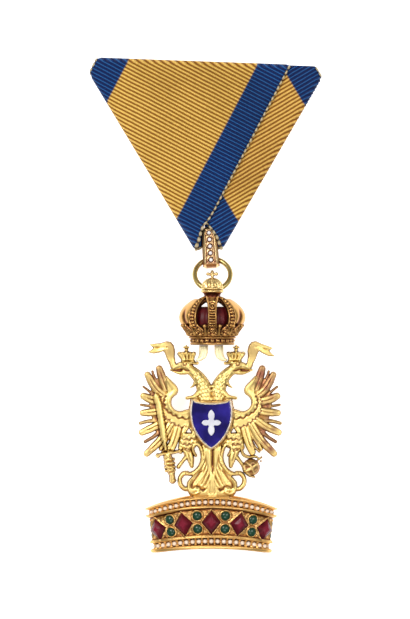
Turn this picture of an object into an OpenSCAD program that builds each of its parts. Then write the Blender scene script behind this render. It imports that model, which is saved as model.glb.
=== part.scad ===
// A breast badge lying on its back: ribbon, bail, ring, crown, eagle and jewelled band crown.
// X runs to the right, Y up the badge towards the ribbon and Z up out of its face.

/* [Ribbon] */
// Thickness of one layer of folded ribbon
cloth_t = 1.0; // [1:0.1:1.2]
// Air between two layers of ribbon
layer_gap = 0.1; // [0.1:0.05:0.2]
// Thickness of the pin on the back, which the ribbon lies on
pin_t = 1.6; // [1.4:0.1:1.8]
// Length of the pin on the back
pin_len = 34; // [30:1:36]

/* [Bail and ring] */
// Width of the bail at its lower end
bail_w = 3.55; // [3.4:0.05:3.7]
// Thickness of the bail's strap
bail_t = 0.9; // [0.8:0.05:1]
// Diameter of the ring's wire
wire_d = 1.1; // [1:0.05:1.15]
// Radius of the ring to the middle of its wire
ring_r = 4.05; // [4:0.05:4.1]
// How far the ring leans up from the floor
ring_tilt = 30.4; // [29:0.2:31]

/* [Badge] */
// Depth of both crowns from front to back
depth = 13.6; // [13.4:0.1:14]
// Place of the badge's middle line from left to right
badge_x = 2.08; // [1.9:0.02:2.2]
// Small gap between pieces that meet
gap = 0.1; // [0.08:0.01:0.12]

/* [Band crown] */
// Half width of the band crown at the middle of its wall
band_a = 14.0; // [13.8:0.1:14.1]
// Diameter of a pearl
pearl_d = 1.36; // [1.3:0.02:1.4]
// How many pearls stand in the upper row
upper_pearls = 48; // [44:1:48]
// How many pearls stand in the lower row
lower_pearls = 41; // [36:1:41]
// How many lozenge stones stand round the band
lozenges = 10; // [8:1:10]
// Height of a lozenge stone
lozenge_h = 5.2; // [4.8:0.1:5.2]
// Width of a lozenge stone
lozenge_w = 4.1; // [3.9:0.1:4.2]
// Diameter of a round green stone
green_d = 2.2; // [2:0.1:2.4]

/* [Hidden] */
mid = depth / 2;
band_b = mid - 1.25;
ruby_names = [for (i = [1:lozenges]) str("ruby_", i)];
green_names = [for (i = [1:2 * lozenges]) str("green_stone_", i)];

// Stands for an upright piece, front towards -Y, laid on its back with its top towards +Y
module laid() {
  translate([badge_x, 0, mid]) rotate([-90, 0, 0]) children();
}

// RIBBON
// Layers from the floor up: back panel, right-hand panel, left-hand panel
back_z = pin_t + layer_gap;
right_z = back_z + cloth_t + layer_gap;
left_z = right_z + cloth_t + layer_gap;
left_roll = (left_z + cloth_t - back_z) / 2;
small_roll = cloth_t + layer_gap / 2;
// Outer fold lines and the selvedges between them, [x, y]
left_fold = [[-26.1, 51.5], [-1.75, 12.6]];
right_fold = [[26.1, 49.6], [4.45, 12.4]];
top_fold = [[-24.3, 57.2], [19.95, 55.6]];
left_selvedge = [[-0.2, 14.3], [-0.1, 16.0], [0.35, 17.5], [1.3, 18.8], [2.3, 21.3],
                 [4.9, 25.8], [10.0, 34.5], [14.1, 42.6], [17.7, 50.7]];
right_selvedge = [[3.35, 13.8], [3.2, 16.5], [2.6, 18.2], [1.3, 18.8]];
right_corner = [[23.2, 55.3], [23.9, 54.2]];
right_start = -16.6;
bail_x = 1.46;
slit_y = 16.95;

function unit(v) = v / norm(v);
function at_x(line, x) =
  [x, line[0][1] + (x - line[0][0]) * (line[1][1] - line[0][1]) / (line[1][0] - line[0][0])];
function inward(line, side, d) =
  let (t = unit(line[1] - line[0]), n = side * [-t[1], t[0]]) [line[0] + d * n, line[1] + d * n];

// A fold as half a tube along a line, round side outwards, with a short lip into each panel
module fold(line, side, z, r) {
  run = inward(line, side, r);
  t = run[1] - run[0];
  slot = r - cloth_t;
  translate([run[0][0], run[0][1], z]) rotate([0, 0, atan2(t[1], t[0])]) rotate([90, 0, 90])
    linear_extrude(norm(t)) mirror([side > 0 ? 1 : 0, 0]) difference() {
      union() {
        intersection() {
          circle(r, $fn = 32);
          translate([0, -r]) square([r, 2 * r]);
        }
        translate([-0.4, -r]) square([0.4, 2 * r]);
      }
      if (slot > cloth_t / 4) circle(slot, $fn = 32);
      translate([-1, -slot]) square([1, 2 * slot]);
    }
}

module panel(points, z) {
  translate([0, 0, z]) linear_extrude(cloth_t) polygon(points);
}

module ribbon() {
  left_in = inward(left_fold, 1, left_roll);
  right_in = inward(right_fold, -1, small_roll);
  top_in = inward(top_fold, -1, small_roll);
  right_top = at_x(top_in, right_start);
  color("goldenrod") difference() {
    union() {
      panel([left_in[0], left_in[1], right_in[1], right_in[0]], back_z);
      panel(concat([top_in[1], top_in[0], left_in[0], left_in[1]], left_selvedge), left_z);
      panel(concat([right_top, top_in[1]], right_corner, [right_in[0], right_in[1]], right_selvedge), right_z);
      fold(left_fold, 1, back_z + left_roll, left_roll);
      fold(right_fold, -1, back_z + small_roll, small_roll);
      fold([at_x(top_fold, -23.8), at_x(top_fold, 19.6)], -1, right_z + small_roll, small_roll);
    }
    // The slit that the bail passes through, and the room that it takes in front of the back panel
    on_bail() {
      translate([-2, slit_y, back_z - 1]) cube([4, bail_top - slit_y + 0.15, cloth_t + 2]);
      translate([-2, 0, right_z - layer_gap / 2]) cube([4, bail_top + 0.15, cloth_t + layer_gap]);
      translate([-2, 0, left_z - 0.1]) cube([4, bail_top - 0.9, cloth_t + 1]);
    }
  }
}

// A bar with a plain pin under it, closed at both ends
module back_pin() {
  color("silver") translate([0, 47.4, 0]) {
    translate([-pin_len / 2, -1.6, pin_t - 0.6]) cube([pin_len, 3.2, 0.6]);
    for (s = [-1, 1]) translate([s * (pin_len / 2 - 1.2) - 1.2, -1, 0]) cube([2.4, 2, pin_t - 0.3]);
    translate([-pin_len / 2 + 1, 0, 0.45]) rotate([0, 90, 0]) cylinder(d = 0.8, h = pin_len - 2, $fn = 24);
  }
}

// BAIL AND RING
bail_top = 18.2;
bail_low = 8.5;
bail_z = back_z + cloth_t / 2 - 0.1;
bail_in = 0.85;
bail_out = bail_in + bail_t;
bail_lean = 4;
channel_w = 2.1;
channel_deep = 0.3;
bead_d = 1.05;
bead_step = 1.57;
ring_top_y = bail_low + bail_t + wire_d / 2 + gap + 0.54;

// Places a piece in the bail's own leaning frame, x = 0 on its middle line
module on_bail() {
  translate([bail_x, bail_top, 0]) rotate([0, 0, bail_lean]) translate([0, -bail_top, 0]) children();
}

module bail() {
  color("gold") on_bail() difference() {
    rotate([90, 0, 90]) translate([0, 0, -bail_w / 2]) linear_extrude(bail_w) difference() {
      bail_outline(bail_out);
      bail_outline(bail_in);
    }
    for (s = [-1, 1]) translate([0, bail_top, 0]) rotate([0, 0, s * 1.35])
      translate([s > 0 ? 1.55 : -1.55 - 2, -12, -1]) cube([2, 14, 8]);
    translate([-channel_w / 2, bail_low + 1.0, bail_z + bail_out - channel_deep])
      cube([channel_w, bail_top - bail_low - 1.8, 1]);
  }
}

// A slot shape along Y with round ends, as two circles and the bar between them
module bail_outline(r) {
  y0 = bail_low + bail_out;
  y1 = bail_top - bail_out;
  translate([y0, bail_z]) circle(r, $fn = 48);
  translate([y1, bail_z]) circle(r, $fn = 48);
  translate([y0, bail_z - r]) square([y1 - y0, 2 * r]);
}

// Five half-round beads in the bail's channel
module bail_beads() {
  color("white") on_bail() for (i = [0:4])
    translate([0, bail_top - 1.5 - i * bead_step, bail_z + bail_out - channel_deep + 0.03])
      intersection() {
        sphere(d = bead_d, $fn = 24);
        translate([-1, -1, 0]) cube([2, 2, 1]);
      }
}

module ring_shape(d, around = 72, sides = 16) {
  translate([badge_x, ring_top_y, bail_z - 0.1]) rotate([-ring_tilt, 0, 0]) translate([0, -ring_r, 0])
    rotate_extrude($fn = around) translate([ring_r, 0]) circle(d = d, $fn = sides);
}

module jump_ring() {
  color("gold") ring_shape(wire_d);
}

// UPPER CROWN, upright, z is the height on the badge
squash = 0.86;
hollow_a = 6.4;
hollow_c = 4.4;
hollow_z = -3.4;
// Half width and height of the crown's shell from the circlet up to the neck
shell_rows = [[4.6, -8.95], [5.1, -7.1], [6.0, -6.2], [6.95, -4.7], [7.35, -3.1], [7.3, -1.7],
              [6.65, -0.3], [5.5, 0.75], [4.0, 1.4], [2.2, 1.75]];
fleurs = 12;
fleur_r = 6.3;
window_half = 3.5;
arch_half = 0.9;
side_band = 1.75;

module shell_solid(grow, sides) {
  scale([1, squash, 1]) rotate_extrude($fn = sides)
    polygon(concat([[0, -8.95]], [for (p = shell_rows) [p[0] + grow, p[1]]], [[0, 1.75]]));
}

// The crown's hollow, which the cap fills but for a gap; less is how much smaller it is drawn
module crown_hollow(less, sides) {
  translate([0, 0, hollow_z]) scale([hollow_a - less, (hollow_a - less) * squash, hollow_c - less])
    sphere(1, $fn = sides);
}

// The opening between the two half shells, with a round top
module window_cut() {
  rotate([90, 0, 0]) linear_extrude(20, center = true) {
    translate([-window_half, -5.4]) square([2 * window_half, 4]);
    intersection() {
      translate([0, -1.6]) circle(window_half, $fn = 32);
      translate([-window_half, -1.6]) square([2 * window_half, 2.2]);
    }
  }
}

// A leaf of the crown: a lozenge that leans outwards
module fleur() {
  translate([fleur_r - 0.95, 0, -6.9]) rotate([0, 33, 0]) hull() {
    sphere(0.35, $fn = 5);
    translate([0.15, 0, 1.5]) scale([0.45, 1.15, 0.75]) sphere(1, $fn = 6);
    translate([0.1, 0, 2.75]) sphere(0.28, $fn = 5);
  }
}

// A short spike with a pearl of gold on its end
module spike() {
  translate([fleur_r - 0.75, 0, -6.9]) rotate([0, 25, 0]) {
    cylinder(h = 2, r1 = 0.4, r2 = 0.22, $fn = 5);
    translate([0, 0, 2.2]) sphere(0.42, $fn = 6);
  }
}

module on_oval(angle) {
  scale([1, squash, 1]) rotate([0, 0, angle]) children();
}

// A row of beads along a hoop of the crown's shape at x, or round the circlet
module bead(p, r) {
  translate(p) sphere(r, $fn = 5);
}

function shell_half(z) = lookup(z, [for (p = shell_rows) [p[1], p[0]]]);
function shell_depth(x, z) =
  let (a = shell_half(z)) squash * sqrt(max(0, a * a - x * x));

module orb_and_cross() {
  translate([0, 0, 1.35]) cylinder(h = 1.55, r1 = 1.75, r2 = 2.35, $fn = 28);
  translate([0, 0, 2.85]) cylinder(h = 1.0, r = 2.55, $fn = 28);
  translate([0, 0, 3.8]) intersection() {
    sphere(2.38, $fn = 28);
    translate([-3, -3, 0]) cube([6, 6, 3]);
  }
  translate([-0.35, -0.35, 5.9]) cube([0.7, 0.7, 1.75]);
  for (s = [-1, 1]) hull() {
    translate([0, 0, 6.95]) cube([0.5, 0.6, 0.4], center = true);
    translate([s * 1.05, 0, 6.95]) cube([0.3, 0.7, 0.75], center = true);
  }
}

module upper_crown() {
  color("gold") laid() difference() {
    union() {
      difference() {
        union() {
          difference() {
            union() {
              shell_solid(0, 30);
              for (s = [-1, 1]) intersection() {
                shell_solid(0.32, 24);
                translate([s > 0 ? window_half - 0.2 : -window_half - side_band, -10, -6.5])
                  cube([side_band + 0.2, 20, 7.3]);
              }
            }
            window_cut();
          }
          intersection() {
            shell_solid(0.35, 24);
            translate([-arch_half, -10, -6.5]) cube([2 * arch_half, 20, 10]);
          }
          circlet();
        }
        crown_hollow(0, 18);
        translate([0, 0, -9.5]) scale([1, squash, 1]) cylinder(h = 5.5, r1 = 3.9, r2 = 5.8, $fn = 22);
      }
      for (i = [0:fleurs - 1]) {
        on_oval(90 + 360 / fleurs * i) fleur();
        on_oval(90 + 360 / fleurs * (i + 0.5)) spike();
      }
      crown_beads();
      translate([0, 0, -8.7]) scale([1, squash, 1]) cylinder(h = 0.8, r = 4.6, $fn = 24);
      orb_and_cross();
    }
    rotate([90, 0, 0]) translate([-badge_x, 0, -mid]) ring_shape(wire_d + 4 * gap, 36, 8);
  }
}

// The hoop that carries the leaves: two mouldings with a plain band between them
module circlet() {
  for (row = [[5.35, -7.35, 0.5], [4.95, -9.18, 0.5]])
    translate([0, 0, row[1]]) scale([1, squash, 1]) cylinder(h = row[2], r = row[0], $fn = 24);
}

module crown_beads() {
  for (i = [0:11]) on_oval(30 * i + 15) bead([5.0, 0, -8.1], 0.42);
  for (face = [-1, 1], z = [-3.95, -2.85, -1.55, -0.6]) {
    for (s = [-1, 0, 1]) {
      x = s * (window_half + side_band / 2);
      bead([x, face * (shell_depth(x, z) + 0.17), z], 0.32);
    }
  }
}

// The cap inside the crown, seen through its openings, cut flat at its top and bottom
module crown_cap() {
  color("darkred") laid() intersection() {
    crown_hollow(0.3, 96);
    translate([-8, -8, -7.5]) cube([16, 16, 7.1]);
  }
}

// The two bands that hang from the crown to the eagle's heads, [x, z] down one edge and up the other
module crown_ribbon(side) {
  color("khaki") laid() scale([side, 1, 1]) rotate([90, 0, 0]) linear_extrude(0.9, center = true)
    polygon([[0.75, -9.28], [2.75, -9.28], [2.8, -11.2], [3.1, -12.2], [3.75, -12.6], [3.3, -12.95],
             [2.4, -12.9], [1.2, -12.1], [0.8, -11.0]]);
}

// EAGLE
// Rows of a chain are [x, z, radius, half depth]; each pair of rows is joined by a hull
module blob(row, y = 0, sides = 6) {
  translate([row[0], y, row[1]]) scale([row[2], row[3], row[2]]) sphere(1, $fn = sides);
}

module chain(rows, y = 0, sides = 6) {
  for (i = [0:len(rows) - 2]) hull() {
    blob(rows[i], y, sides);
    blob(rows[i + 1], y, sides);
  }
}

// Long feathers of a wing: [root x, root z, tip x, tip z, half width, half depth]
long_feathers = [
  [9.3, -19.6, 11.7, -14.6, 0.95, 0.8],
  [10.2, -21.0, 14.5, -15.8, 1.1, 0.75],
  [10.9, -22.3, 15.95, -20.3, 1.15, 0.75],
  [11.0, -23.8, 16.1, -24.8, 1.15, 0.75],
  [10.6, -25.4, 16.15, -29.1, 1.15, 0.75],
  [9.8, -26.9, 14.9, -34.1, 1.15, 0.75],
  [8.3, -27.6, 11.4, -33.7, 1.1, 0.75],
  [7.2, -27.6, 9.1, -32.0, 0.9, 0.7]];
thin_feathers = [
  [10.0, -20.0, 13.4, -15.2, 0.55, 0.5],
  [10.8, -21.5, 15.55, -18.7, 0.55, 0.5],
  [11.2, -23.0, 16.4, -22.8, 0.55, 0.5],
  [11.0, -24.6, 16.35, -27.0, 0.55, 0.5],
  [10.4, -26.1, 15.3, -31.2, 0.55, 0.5],
  [9.2, -27.4, 12.9, -33.9, 0.55, 0.5]];

// One feather bends down a little at its middle and narrows at its tip
module feather(f, bend) {
  mx = (f[0] + f[2]) / 2 - bend * (f[3] - f[1]);
  mz = (f[1] + f[3]) / 2 + bend * (f[2] - f[0]);
  chain([[f[0], f[1], f[4] * 0.8, f[5] * 1.2], [mx, mz, f[4], f[5]], [f[2], f[3], f[4] * 0.5, f[5] * 0.5]], 0, 4);
}

// Short scale-like feathers in two rows over the roots of the long ones
module coverts() {
  for (row = [[3.1, 0.95, 6], [1.6, 0.85, 4]], i = [0:row[2] - 1], face = [-1, 1]) {
    a = 62 - 142 * i / (row[2] - 1);
    translate([8.1 + row[0] * cos(a), 0, -23.2 + row[0] * 1.25 * sin(a)]) rotate([face * 90, -a, 0])
      cylinder(h = 1.55, r1 = row[1], r2 = row[1] * 0.5, $fn = 5);
  }
}

module wing() {
  chain([[4.4, -25.6, 1.9, 1.2], [7.4, -27.0, 1.45, 1.1], [9.9, -25.4, 1.5, 1.1], [10.5, -22.6, 1.3, 1.0],
         [9.0, -19.8, 1.2, 1.1]]);
  chain([[8.75, -19.9, 1.0, 1.25], [9.6, -17.9, 0.75, 1.05], [11.1, -15.7, 0.5, 0.8]]);
  for (f = long_feathers) feather(f, -0.04);
  for (f = thin_feathers) chain([[f[0], f[1], f[4], f[5]], [f[2], f[3], f[4] * 0.6, f[5] * 0.6]], 0, 5);
  coverts();
}

module head_and_neck() {
  chain([[5.9, -13.75, 1.3, 1.3], [4.6, -15.1, 1.2, 1.25], [3.2, -17.3, 1.6, 1.45], [2.5, -19.8, 2.1, 1.6],
         [2.3, -22.4, 2.3, 1.6]], 0, 8);
  chain([[6.6, -13.6, 1.05, 1.0], [8.2, -13.9, 0.6, 0.6], [9.2, -14.75, 0.22, 0.3]]);
  chain([[7.0, -14.5, 0.6, 0.6], [8.3, -15.35, 0.25, 0.3]]);
  for (face = [-1, 1]) blob([6.3, -13.35, 0.3, 0.25], face * 1.15, 6);
  chain([[3.6, -17.5, 0.8, 0.9], [4.95, -19.1, 0.3, 0.4]]);
  chain([[3.4, -19.3, 0.9, 1.0], [5.9, -21.0, 0.4, 0.5]]);
}

// The small crown on each head
module head_crown() {
  chain([[5.0, -12.35, 0.5, 1.0], [6.9, -12.35, 0.5, 1.0]]);
  hull() {
    translate([5.95, 0, -12.1]) scale([1.25, 1.0, 1]) cylinder(h = 0.2, r = 1, $fn = 12);
    translate([5.95, 0, -10.75]) scale([1.75, 1.35, 1]) cylinder(h = 0.2, r = 1, $fn = 12);
  }
  for (s = [-1, 0, 1]) blob([5.95 + 1.45 * s, -10.5, 0.42, 0.5], 0, 6);
  blob([5.95, -10.35, 0.8, 0.7], 0, 8);
  chain([[5.95, -10.2, 0.22, 0.25], [5.95, -9.7, 0.26, 0.25]], 0, 6);
}

// The ribbon that flutters from each head, with a swallow tail
module head_ribbon() {
  for (run = [[[8.0, -13.4], [9.5, -11.6], [9.3, -10.0]], [[9.3, -10.0], [9.7, -8.6], [11.0, -8.7]],
              [[11.0, -8.9], [12.4, -9.6], [13.7, -8.9]], [[11.0, -9.2], [12.5, -10.2], [14.1, -10.8]]])
    for (i = [0:1]) hull() {
      blob([run[i][0], run[i][1], 0.45, 0.35], 0, 6);
      blob([run[i + 1][0], run[i + 1][1], 0.45, 0.35], 0, 6);
    }
}

module leg() {
  chain([[5.4, -28.4, 1.3, 1.1], [5.7, -30.9, 1.6, 1.35], [5.4, -34.0, 1.0, 1.0], [4.6, -36.9, 0.35, 0.5]]);
  chain([[5.6, -33.6, 0.8, 0.8], [6.6, -35.8, 0.55, 0.6], [8.6, -36.7, 0.5, 0.6]]);
  chain([[3.3, -31.2, 0.6, 0.7], [4.2, -32.4, 0.4, 0.5], [3.6, -33.4, 0.5, 0.6]]);
}

module tail_half() {
  chain([[0, -31.5, 2.4, 1.3], [0, -34.5, 2.2, 1.2], [0.8, -38.5, 2.2, 1.2], [1.2, -42.6, 2.0, 1.2]]);
  chain([[1.6, -36.0, 1.0, 0.9], [3.4, -39.0, 1.1, 0.9], [4.2, -42.3, 1.25, 0.9]]);
  for (a = [180:-60:-60]) hull() {
    blob([6.35 + 0.9 * cos(a), -39.95 + 0.9 * sin(a), 0.5, 0.6], 0, 6);
    blob([6.35 + 0.9 * cos(a - 60), -39.95 + 0.9 * sin(a - 60), 0.5, 0.6], 0, 6);
  }
  chain([[3.6, -38.6, 0.6, 0.7], [5.4, -40.4, 0.6, 0.7]]);
}

module eagle_half() {
  wing();
  head_and_neck();
  head_crown();
  head_ribbon();
  leg();
  tail_half();
}

// The sword in the left-hand claw and the orb in the right-hand one
module sword() {
  chain([[-12.75, -19.9, 0.3, 0.25], [-12.5, -21.2, 0.55, 0.4], [-9.9, -33.7, 0.6, 0.45]], -1.05);
  chain([[-12.5, -34.4, 0.45, 0.5], [-7.9, -33.5, 0.45, 0.5]], -0.7);
  chain([[-9.8, -33.8, 0.6, 0.7], [-9.0, -38.6, 0.7, 0.7]], -0.3);
  blob([-8.9, -39.7, 0.85, 0.8], -0.2);
}

module orb() {
  blob([9.15, -37.4, 1.95, 1.95], 0, 10);
  for (a = [-40, 50]) translate([9.15, 0, -37.4]) rotate([0, a, 0]) cylinder(h = 0.5, r = 2.05, center = true, $fn = 12);
  chain([[10.3, -36.3, 0.3, 0.3], [11.7, -35.2, 0.35, 0.35]], 0, 6);
  chain([[10.9, -34.6, 0.25, 0.3], [12.1, -35.8, 0.25, 0.3]], 0, 6);
  blob([9.9, -39.3, 0.55, 0.5], 0, 6);
}

// The body is flat where the shields lie on it, and a foot fits inside the band crown
module eagle() {
  color("gold") laid() difference() {
    union() {
      eagle_half();
      mirror([1, 0, 0]) eagle_half();
      chain([[0, -22.0, 3.0, 1.6], [0, -27.0, 4.2, 1.6], [0, -31.5, 2.8, 1.5]], 0, 10);
      sword();
      orb();
      translate([-4.9, -4.1, -45.3]) cube([9.8, 8.2, 0.9]);
      translate([-4.3, -0.9, -44.9]) cube([8.6, 1.8, 2.5]);
    }
    for (face = [-1, 1]) translate([0, face * (shield_seat + 2), 0]) rotate([90, 0, 0])
      linear_extrude(4, center = true) shield_outline(-gap - 0.1, 36);
  }
}

// SHIELDS, drawn from arcs
shield_seat = 1.35;
shield_top = -21.65;
shield_wide_z = -25.7;
shield_half = 5.0;
shield_tip = -33.3;
side_r = (shield_half * shield_half + pow(shield_wide_z - shield_tip, 2)) / (2 * shield_half);
top_r = 8.14;
rim_w = 0.5;

// The shield's outline, drawn smaller by d all round
module shield_outline(d, sides = 96) {
  difference() {
    intersection() {
      translate([side_r - shield_half, shield_wide_z]) circle(side_r - d, $fn = sides);
      translate([shield_half - side_r, shield_wide_z]) circle(side_r - d, $fn = sides);
      translate([-8, -40]) square([16, 40 + shield_top - d * 0.6]);
    }
    translate([0, -22.7 + top_r]) circle(top_r + d, $fn = sides);
  }
}

// A shallow tray: floor and rim; face is -1 at the front and 1 at the back
module shield_tray(face) {
  color("gold") laid() translate([0, face * (shield_seat + 0.05), 0]) rotate([90, 0, 0]) mirror([0, 0, face > 0 ? 1 : 0])
    difference() {
      linear_extrude(1.15) shield_outline(0);
      translate([0, 0, 0.45]) linear_extrude(1) shield_outline(rim_w);
    }
}

module shield_enamel(face) {
  color("mediumblue") laid() translate([0, face * (shield_seat + 0.55), 0]) rotate([90, 0, 0])
    mirror([0, 0, face > 0 ? 1 : 0]) linear_extrude(0.5) shield_outline(rim_w + 0.06);
}

// A pointed petal is where two circles cross
module petal(len, half) {
  r = (len * len / 4 + half * half) / (2 * half);
  translate([0, len / 2]) intersection() {
    translate([r - half, 0]) circle(r, $fn = 64);
    translate([half - r, 0]) circle(r, $fn = 64);
  }
}

// Four pointed petals round a disc, taller than wide
module white_enamel_motif() {
  color("white") laid() translate([0, -(shield_seat + 1.1), -27.0]) rotate([90, 0, 0]) linear_extrude(0.2) {
    for (a = [0, 180]) rotate([0, 0, a]) translate([0, 0.3]) petal(2.75, 0.75);
    for (a = [90, 270]) rotate([0, 0, a]) translate([0, 0.2]) petal(2.0, 0.65);
    circle(0.95, $fn = 40);
  }
}

// BAND CROWN, upright: an oval band whose edges rise in an arch to the middle
band_rows = [
  // How far the surface stands out, height at the middle, fall at the sides
  [1.25, -43.85, 2.85], [1.25, -44.2, 2.8], [-0.25, -44.25, 2.8], [-0.3, -45.8, 2.6],
  [1.05, -45.85, 2.6], [1.0, -46.4, 2.5], [0.3, -46.5, 2.5], [-0.45, -52.5, 1.7],
  [0.15, -52.65, 1.7], [0.1, -53.2, 1.6], [-1.25, -53.25, 1.6], [-1.35, -54.85, 1.35],
  [-0.05, -54.9, 1.3], [-0.1, -55.75, 1.2], [-2.1, -55.75, 1.2], [-0.95, -43.85, 2.85]];
band_steps = 56;
upper_row = [0.47, -45.02, 2.7];
lower_row = [-0.42, -54.03, 1.46];
stone_row = [0.0, -49.65, 2.2];

// A point on the band: row gives [out, height, fall], angle runs round from the front
function on_band(row, angle) =
  [(band_a + row[0]) * sin(angle), -(band_b + row[0]) * cos(angle), row[1] - row[2] * pow(sin(angle), 2)];

// Angles that part an oval into equal lengths, found from its summed length
function oval_lengths(row, n = 360) =
  let (step = [for (i = [1:n]) norm(on_band(row, i * 360 / n) - on_band(row, (i - 1) * 360 / n))])
  [for (i = 0, sum = 0; i <= n; sum = sum + (i < n ? step[i] : 0), i = i + 1) sum];
function even_angles(row, count, start = 0) =
  let (sums = oval_lengths(row), whole = sums[len(sums) - 1],
       table = [for (i = [0:len(sums) - 1]) [sums[i], i * 360 / (len(sums) - 1)]])
  [for (k = [0:count - 1]) lookup(((k + start) / count) * whole, table)];

module band_crown() {
  n = len(band_rows);
  points = [for (i = [0:band_steps - 1], row = band_rows) on_band(row, 360 * i / band_steps)];
  faces = [for (i = [0:band_steps - 1], j = [0:n - 1])
    let (i2 = (i + 1) % band_steps, j2 = (j + 1) % n) each
    [[i * n + j, i2 * n + j, i2 * n + j2], [i * n + j, i2 * n + j2, i * n + j2]]];
  color("gold") laid() polyhedron(points, faces, convexity = 6);
}

module pearl_row(row, count) {
  color("ivory") laid() for (a = even_angles(row, count)) translate(on_band(row, a)) sphere(d = pearl_d, $fn = 20);
}

// Places a stone on the band, its face outwards and its height along the arch's normal
module on_stone_row(row, angle) {
  p = on_band(row, angle);
  ahead = on_band(row, angle + 0.5);
  behind = on_band(row, angle - 0.5);
  flat = ahead - behind;
  turn = atan2(flat[1], flat[0]);
  lean = atan2(flat[2], norm([flat[0], flat[1]]));
  translate(p) rotate([0, 0, turn]) rotate([0, -lean, 0]) rotate([-6.5, 0, 0]) rotate([90, 0, 0]) children();
}

// A lozenge with a small table and eight facets round it, over a flat back
module lozenge_stone() {
  w = lozenge_w / 2;
  h = lozenge_h / 2;
  c = 0.07;
  girdle = [[w, c * h], [c * w, h], [-c * w, h], [-w, c * h], [-w, -c * h], [-c * w, -h], [c * w, -h], [w, -c * h]];
  points = concat([for (p = girdle) [p[0], p[1], 0.2]], [for (p = girdle) [p[0], p[1], 0.55]],
                  [for (p = girdle) [p[0] * 0.35, p[1] * 0.35, 1.15]]);
  sides = [for (j = [0, 8], i = [0:7]) let (k = (i + 1) % 8) [j + i, j + 8 + i, j + 8 + k, j + k]];
  polyhedron(points, concat(sides, [[for (i = [0:7]) i], [for (i = [7:-1:0]) 16 + i]]));
}

module ruby(i) {
  angles = even_angles(stone_row, lozenges);
  lift = 0.32 + 0.6 * pow(sin(angles[i - 1]), 4);
  color("darkred") laid() on_stone_row(stone_row, angles[i - 1]) translate([0, 0, lift]) lozenge_stone();
}

// The round stones stand in pairs, one over the other, between the lozenges
module green_stone(i) {
  pair = floor((i - 1) / 2);
  upper = (i % 2) == 1;
  row = upper ? [0.15, -48.05, 2.35] : [-0.2, -51.1, 1.9];
  angles = even_angles(row, lozenges, 0.5);
  color("darkgreen") laid() on_stone_row(row, angles[pair]) translate([0, 0, 0.22]) intersection() {
    scale([1, 1, 0.8]) sphere(d = green_d, $fn = 24);
    translate([-2, -2, 0.05]) cube([4, 4, 2]);
  }
}

ribbon();
back_pin();
bail();
bail_beads();
jump_ring();
upper_crown();
crown_cap();
crown_ribbon(-1);  // crown_ribbon_left
crown_ribbon(1);  // crown_ribbon_right
eagle();
shield_tray(-1);  // shield_front
shield_tray(1);  // shield_back
shield_enamel(-1);  // blue_enamel_front
shield_enamel(1);  // blue_enamel_back
white_enamel_motif();
band_crown();
pearl_row(upper_row, upper_pearls);  // upper_pearl_row
pearl_row(lower_row, lower_pearls);  // lower_pearl_row
for (i = [1:lozenges]) ruby(i);
for (i = [1:2 * lozenges]) green_stone(i);
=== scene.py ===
import math

import bpy
import numpy as np
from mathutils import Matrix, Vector


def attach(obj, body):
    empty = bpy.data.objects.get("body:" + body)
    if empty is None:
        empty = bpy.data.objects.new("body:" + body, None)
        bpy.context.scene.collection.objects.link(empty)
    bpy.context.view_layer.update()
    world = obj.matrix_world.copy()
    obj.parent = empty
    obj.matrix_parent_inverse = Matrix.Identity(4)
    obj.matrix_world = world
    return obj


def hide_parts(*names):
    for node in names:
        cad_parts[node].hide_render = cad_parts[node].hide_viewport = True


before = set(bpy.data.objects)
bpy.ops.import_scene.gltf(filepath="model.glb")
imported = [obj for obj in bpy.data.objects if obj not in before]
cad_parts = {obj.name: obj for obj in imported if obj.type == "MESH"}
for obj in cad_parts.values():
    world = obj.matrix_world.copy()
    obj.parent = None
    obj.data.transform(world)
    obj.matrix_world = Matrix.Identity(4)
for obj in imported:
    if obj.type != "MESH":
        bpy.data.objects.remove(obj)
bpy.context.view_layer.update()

# Lengths are in millimetres unless a comment says pixels, and turn to metres where a mesh is made.
# Pixels are those of the photograph: the badge's middle line is at MIDDLE_X, the frame's origin at MIDDLE_Y.
MM = 0.001
PIXEL = 0.23
MIDDLE_X, MIDDLE_Y = 211.3, 305
# The badge lies on its back, with its middle line at BADGE_X in the frame and its mid plane at MID_Z
BADGE_X = 2.08
MID_Z = 6.8


def detail(quick, full):
    """A count or a step: the first, for a quick test, is not used; the second is for the finished part."""
    return full


def points_at(*places):
    """Places in pixels, as millimetres right of the badge's middle line and up from the frame's origin."""
    return (np.array(places, float) - [MIDDLE_X, MIDDLE_Y]) * [PIXEL, -PIXEL]


def curve(points, count=18):
    """The points joined by a smooth line of so many points."""
    points = np.asarray(points, float)
    if len(points) < 3:
        share = np.linspace(0, 1, count)[:, None]
        return points[0] * (1 - share) + points[-1] * share
    padded = np.vstack([2 * points[0] - points[1], points, 2 * points[-1] - points[-2]])
    made = []
    for place in np.linspace(0, len(points) - 1.0001, count):
        k = int(place)
        t = place - k
        a, b, c, d = padded[k:k + 4]
        bend = (2 * a - 5 * b + 4 * c - d) * t * t + (3 * b - a - 3 * c + d) * t ** 3
        made.append(0.5 * (2 * b + (c - a) * t + bend))
    return np.array(made)


def smooth(low, high, x):
    """Nought below low, one above high and an even slope between them."""
    t = np.clip((x - low) / (high - low), 0, 1)
    return t * t * (3 - 2 * t)


def bump(x, centre, width):
    """One at the centre, fading to both sides."""
    return np.exp(-((x - centre) / width) ** 2)


def dome(x, power=2):
    """A round back: one at nought, falling to nought at one, flatter with a higher power."""
    return np.sqrt(np.maximum(1 - np.clip(x, 0, 1) ** power, 0))


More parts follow.
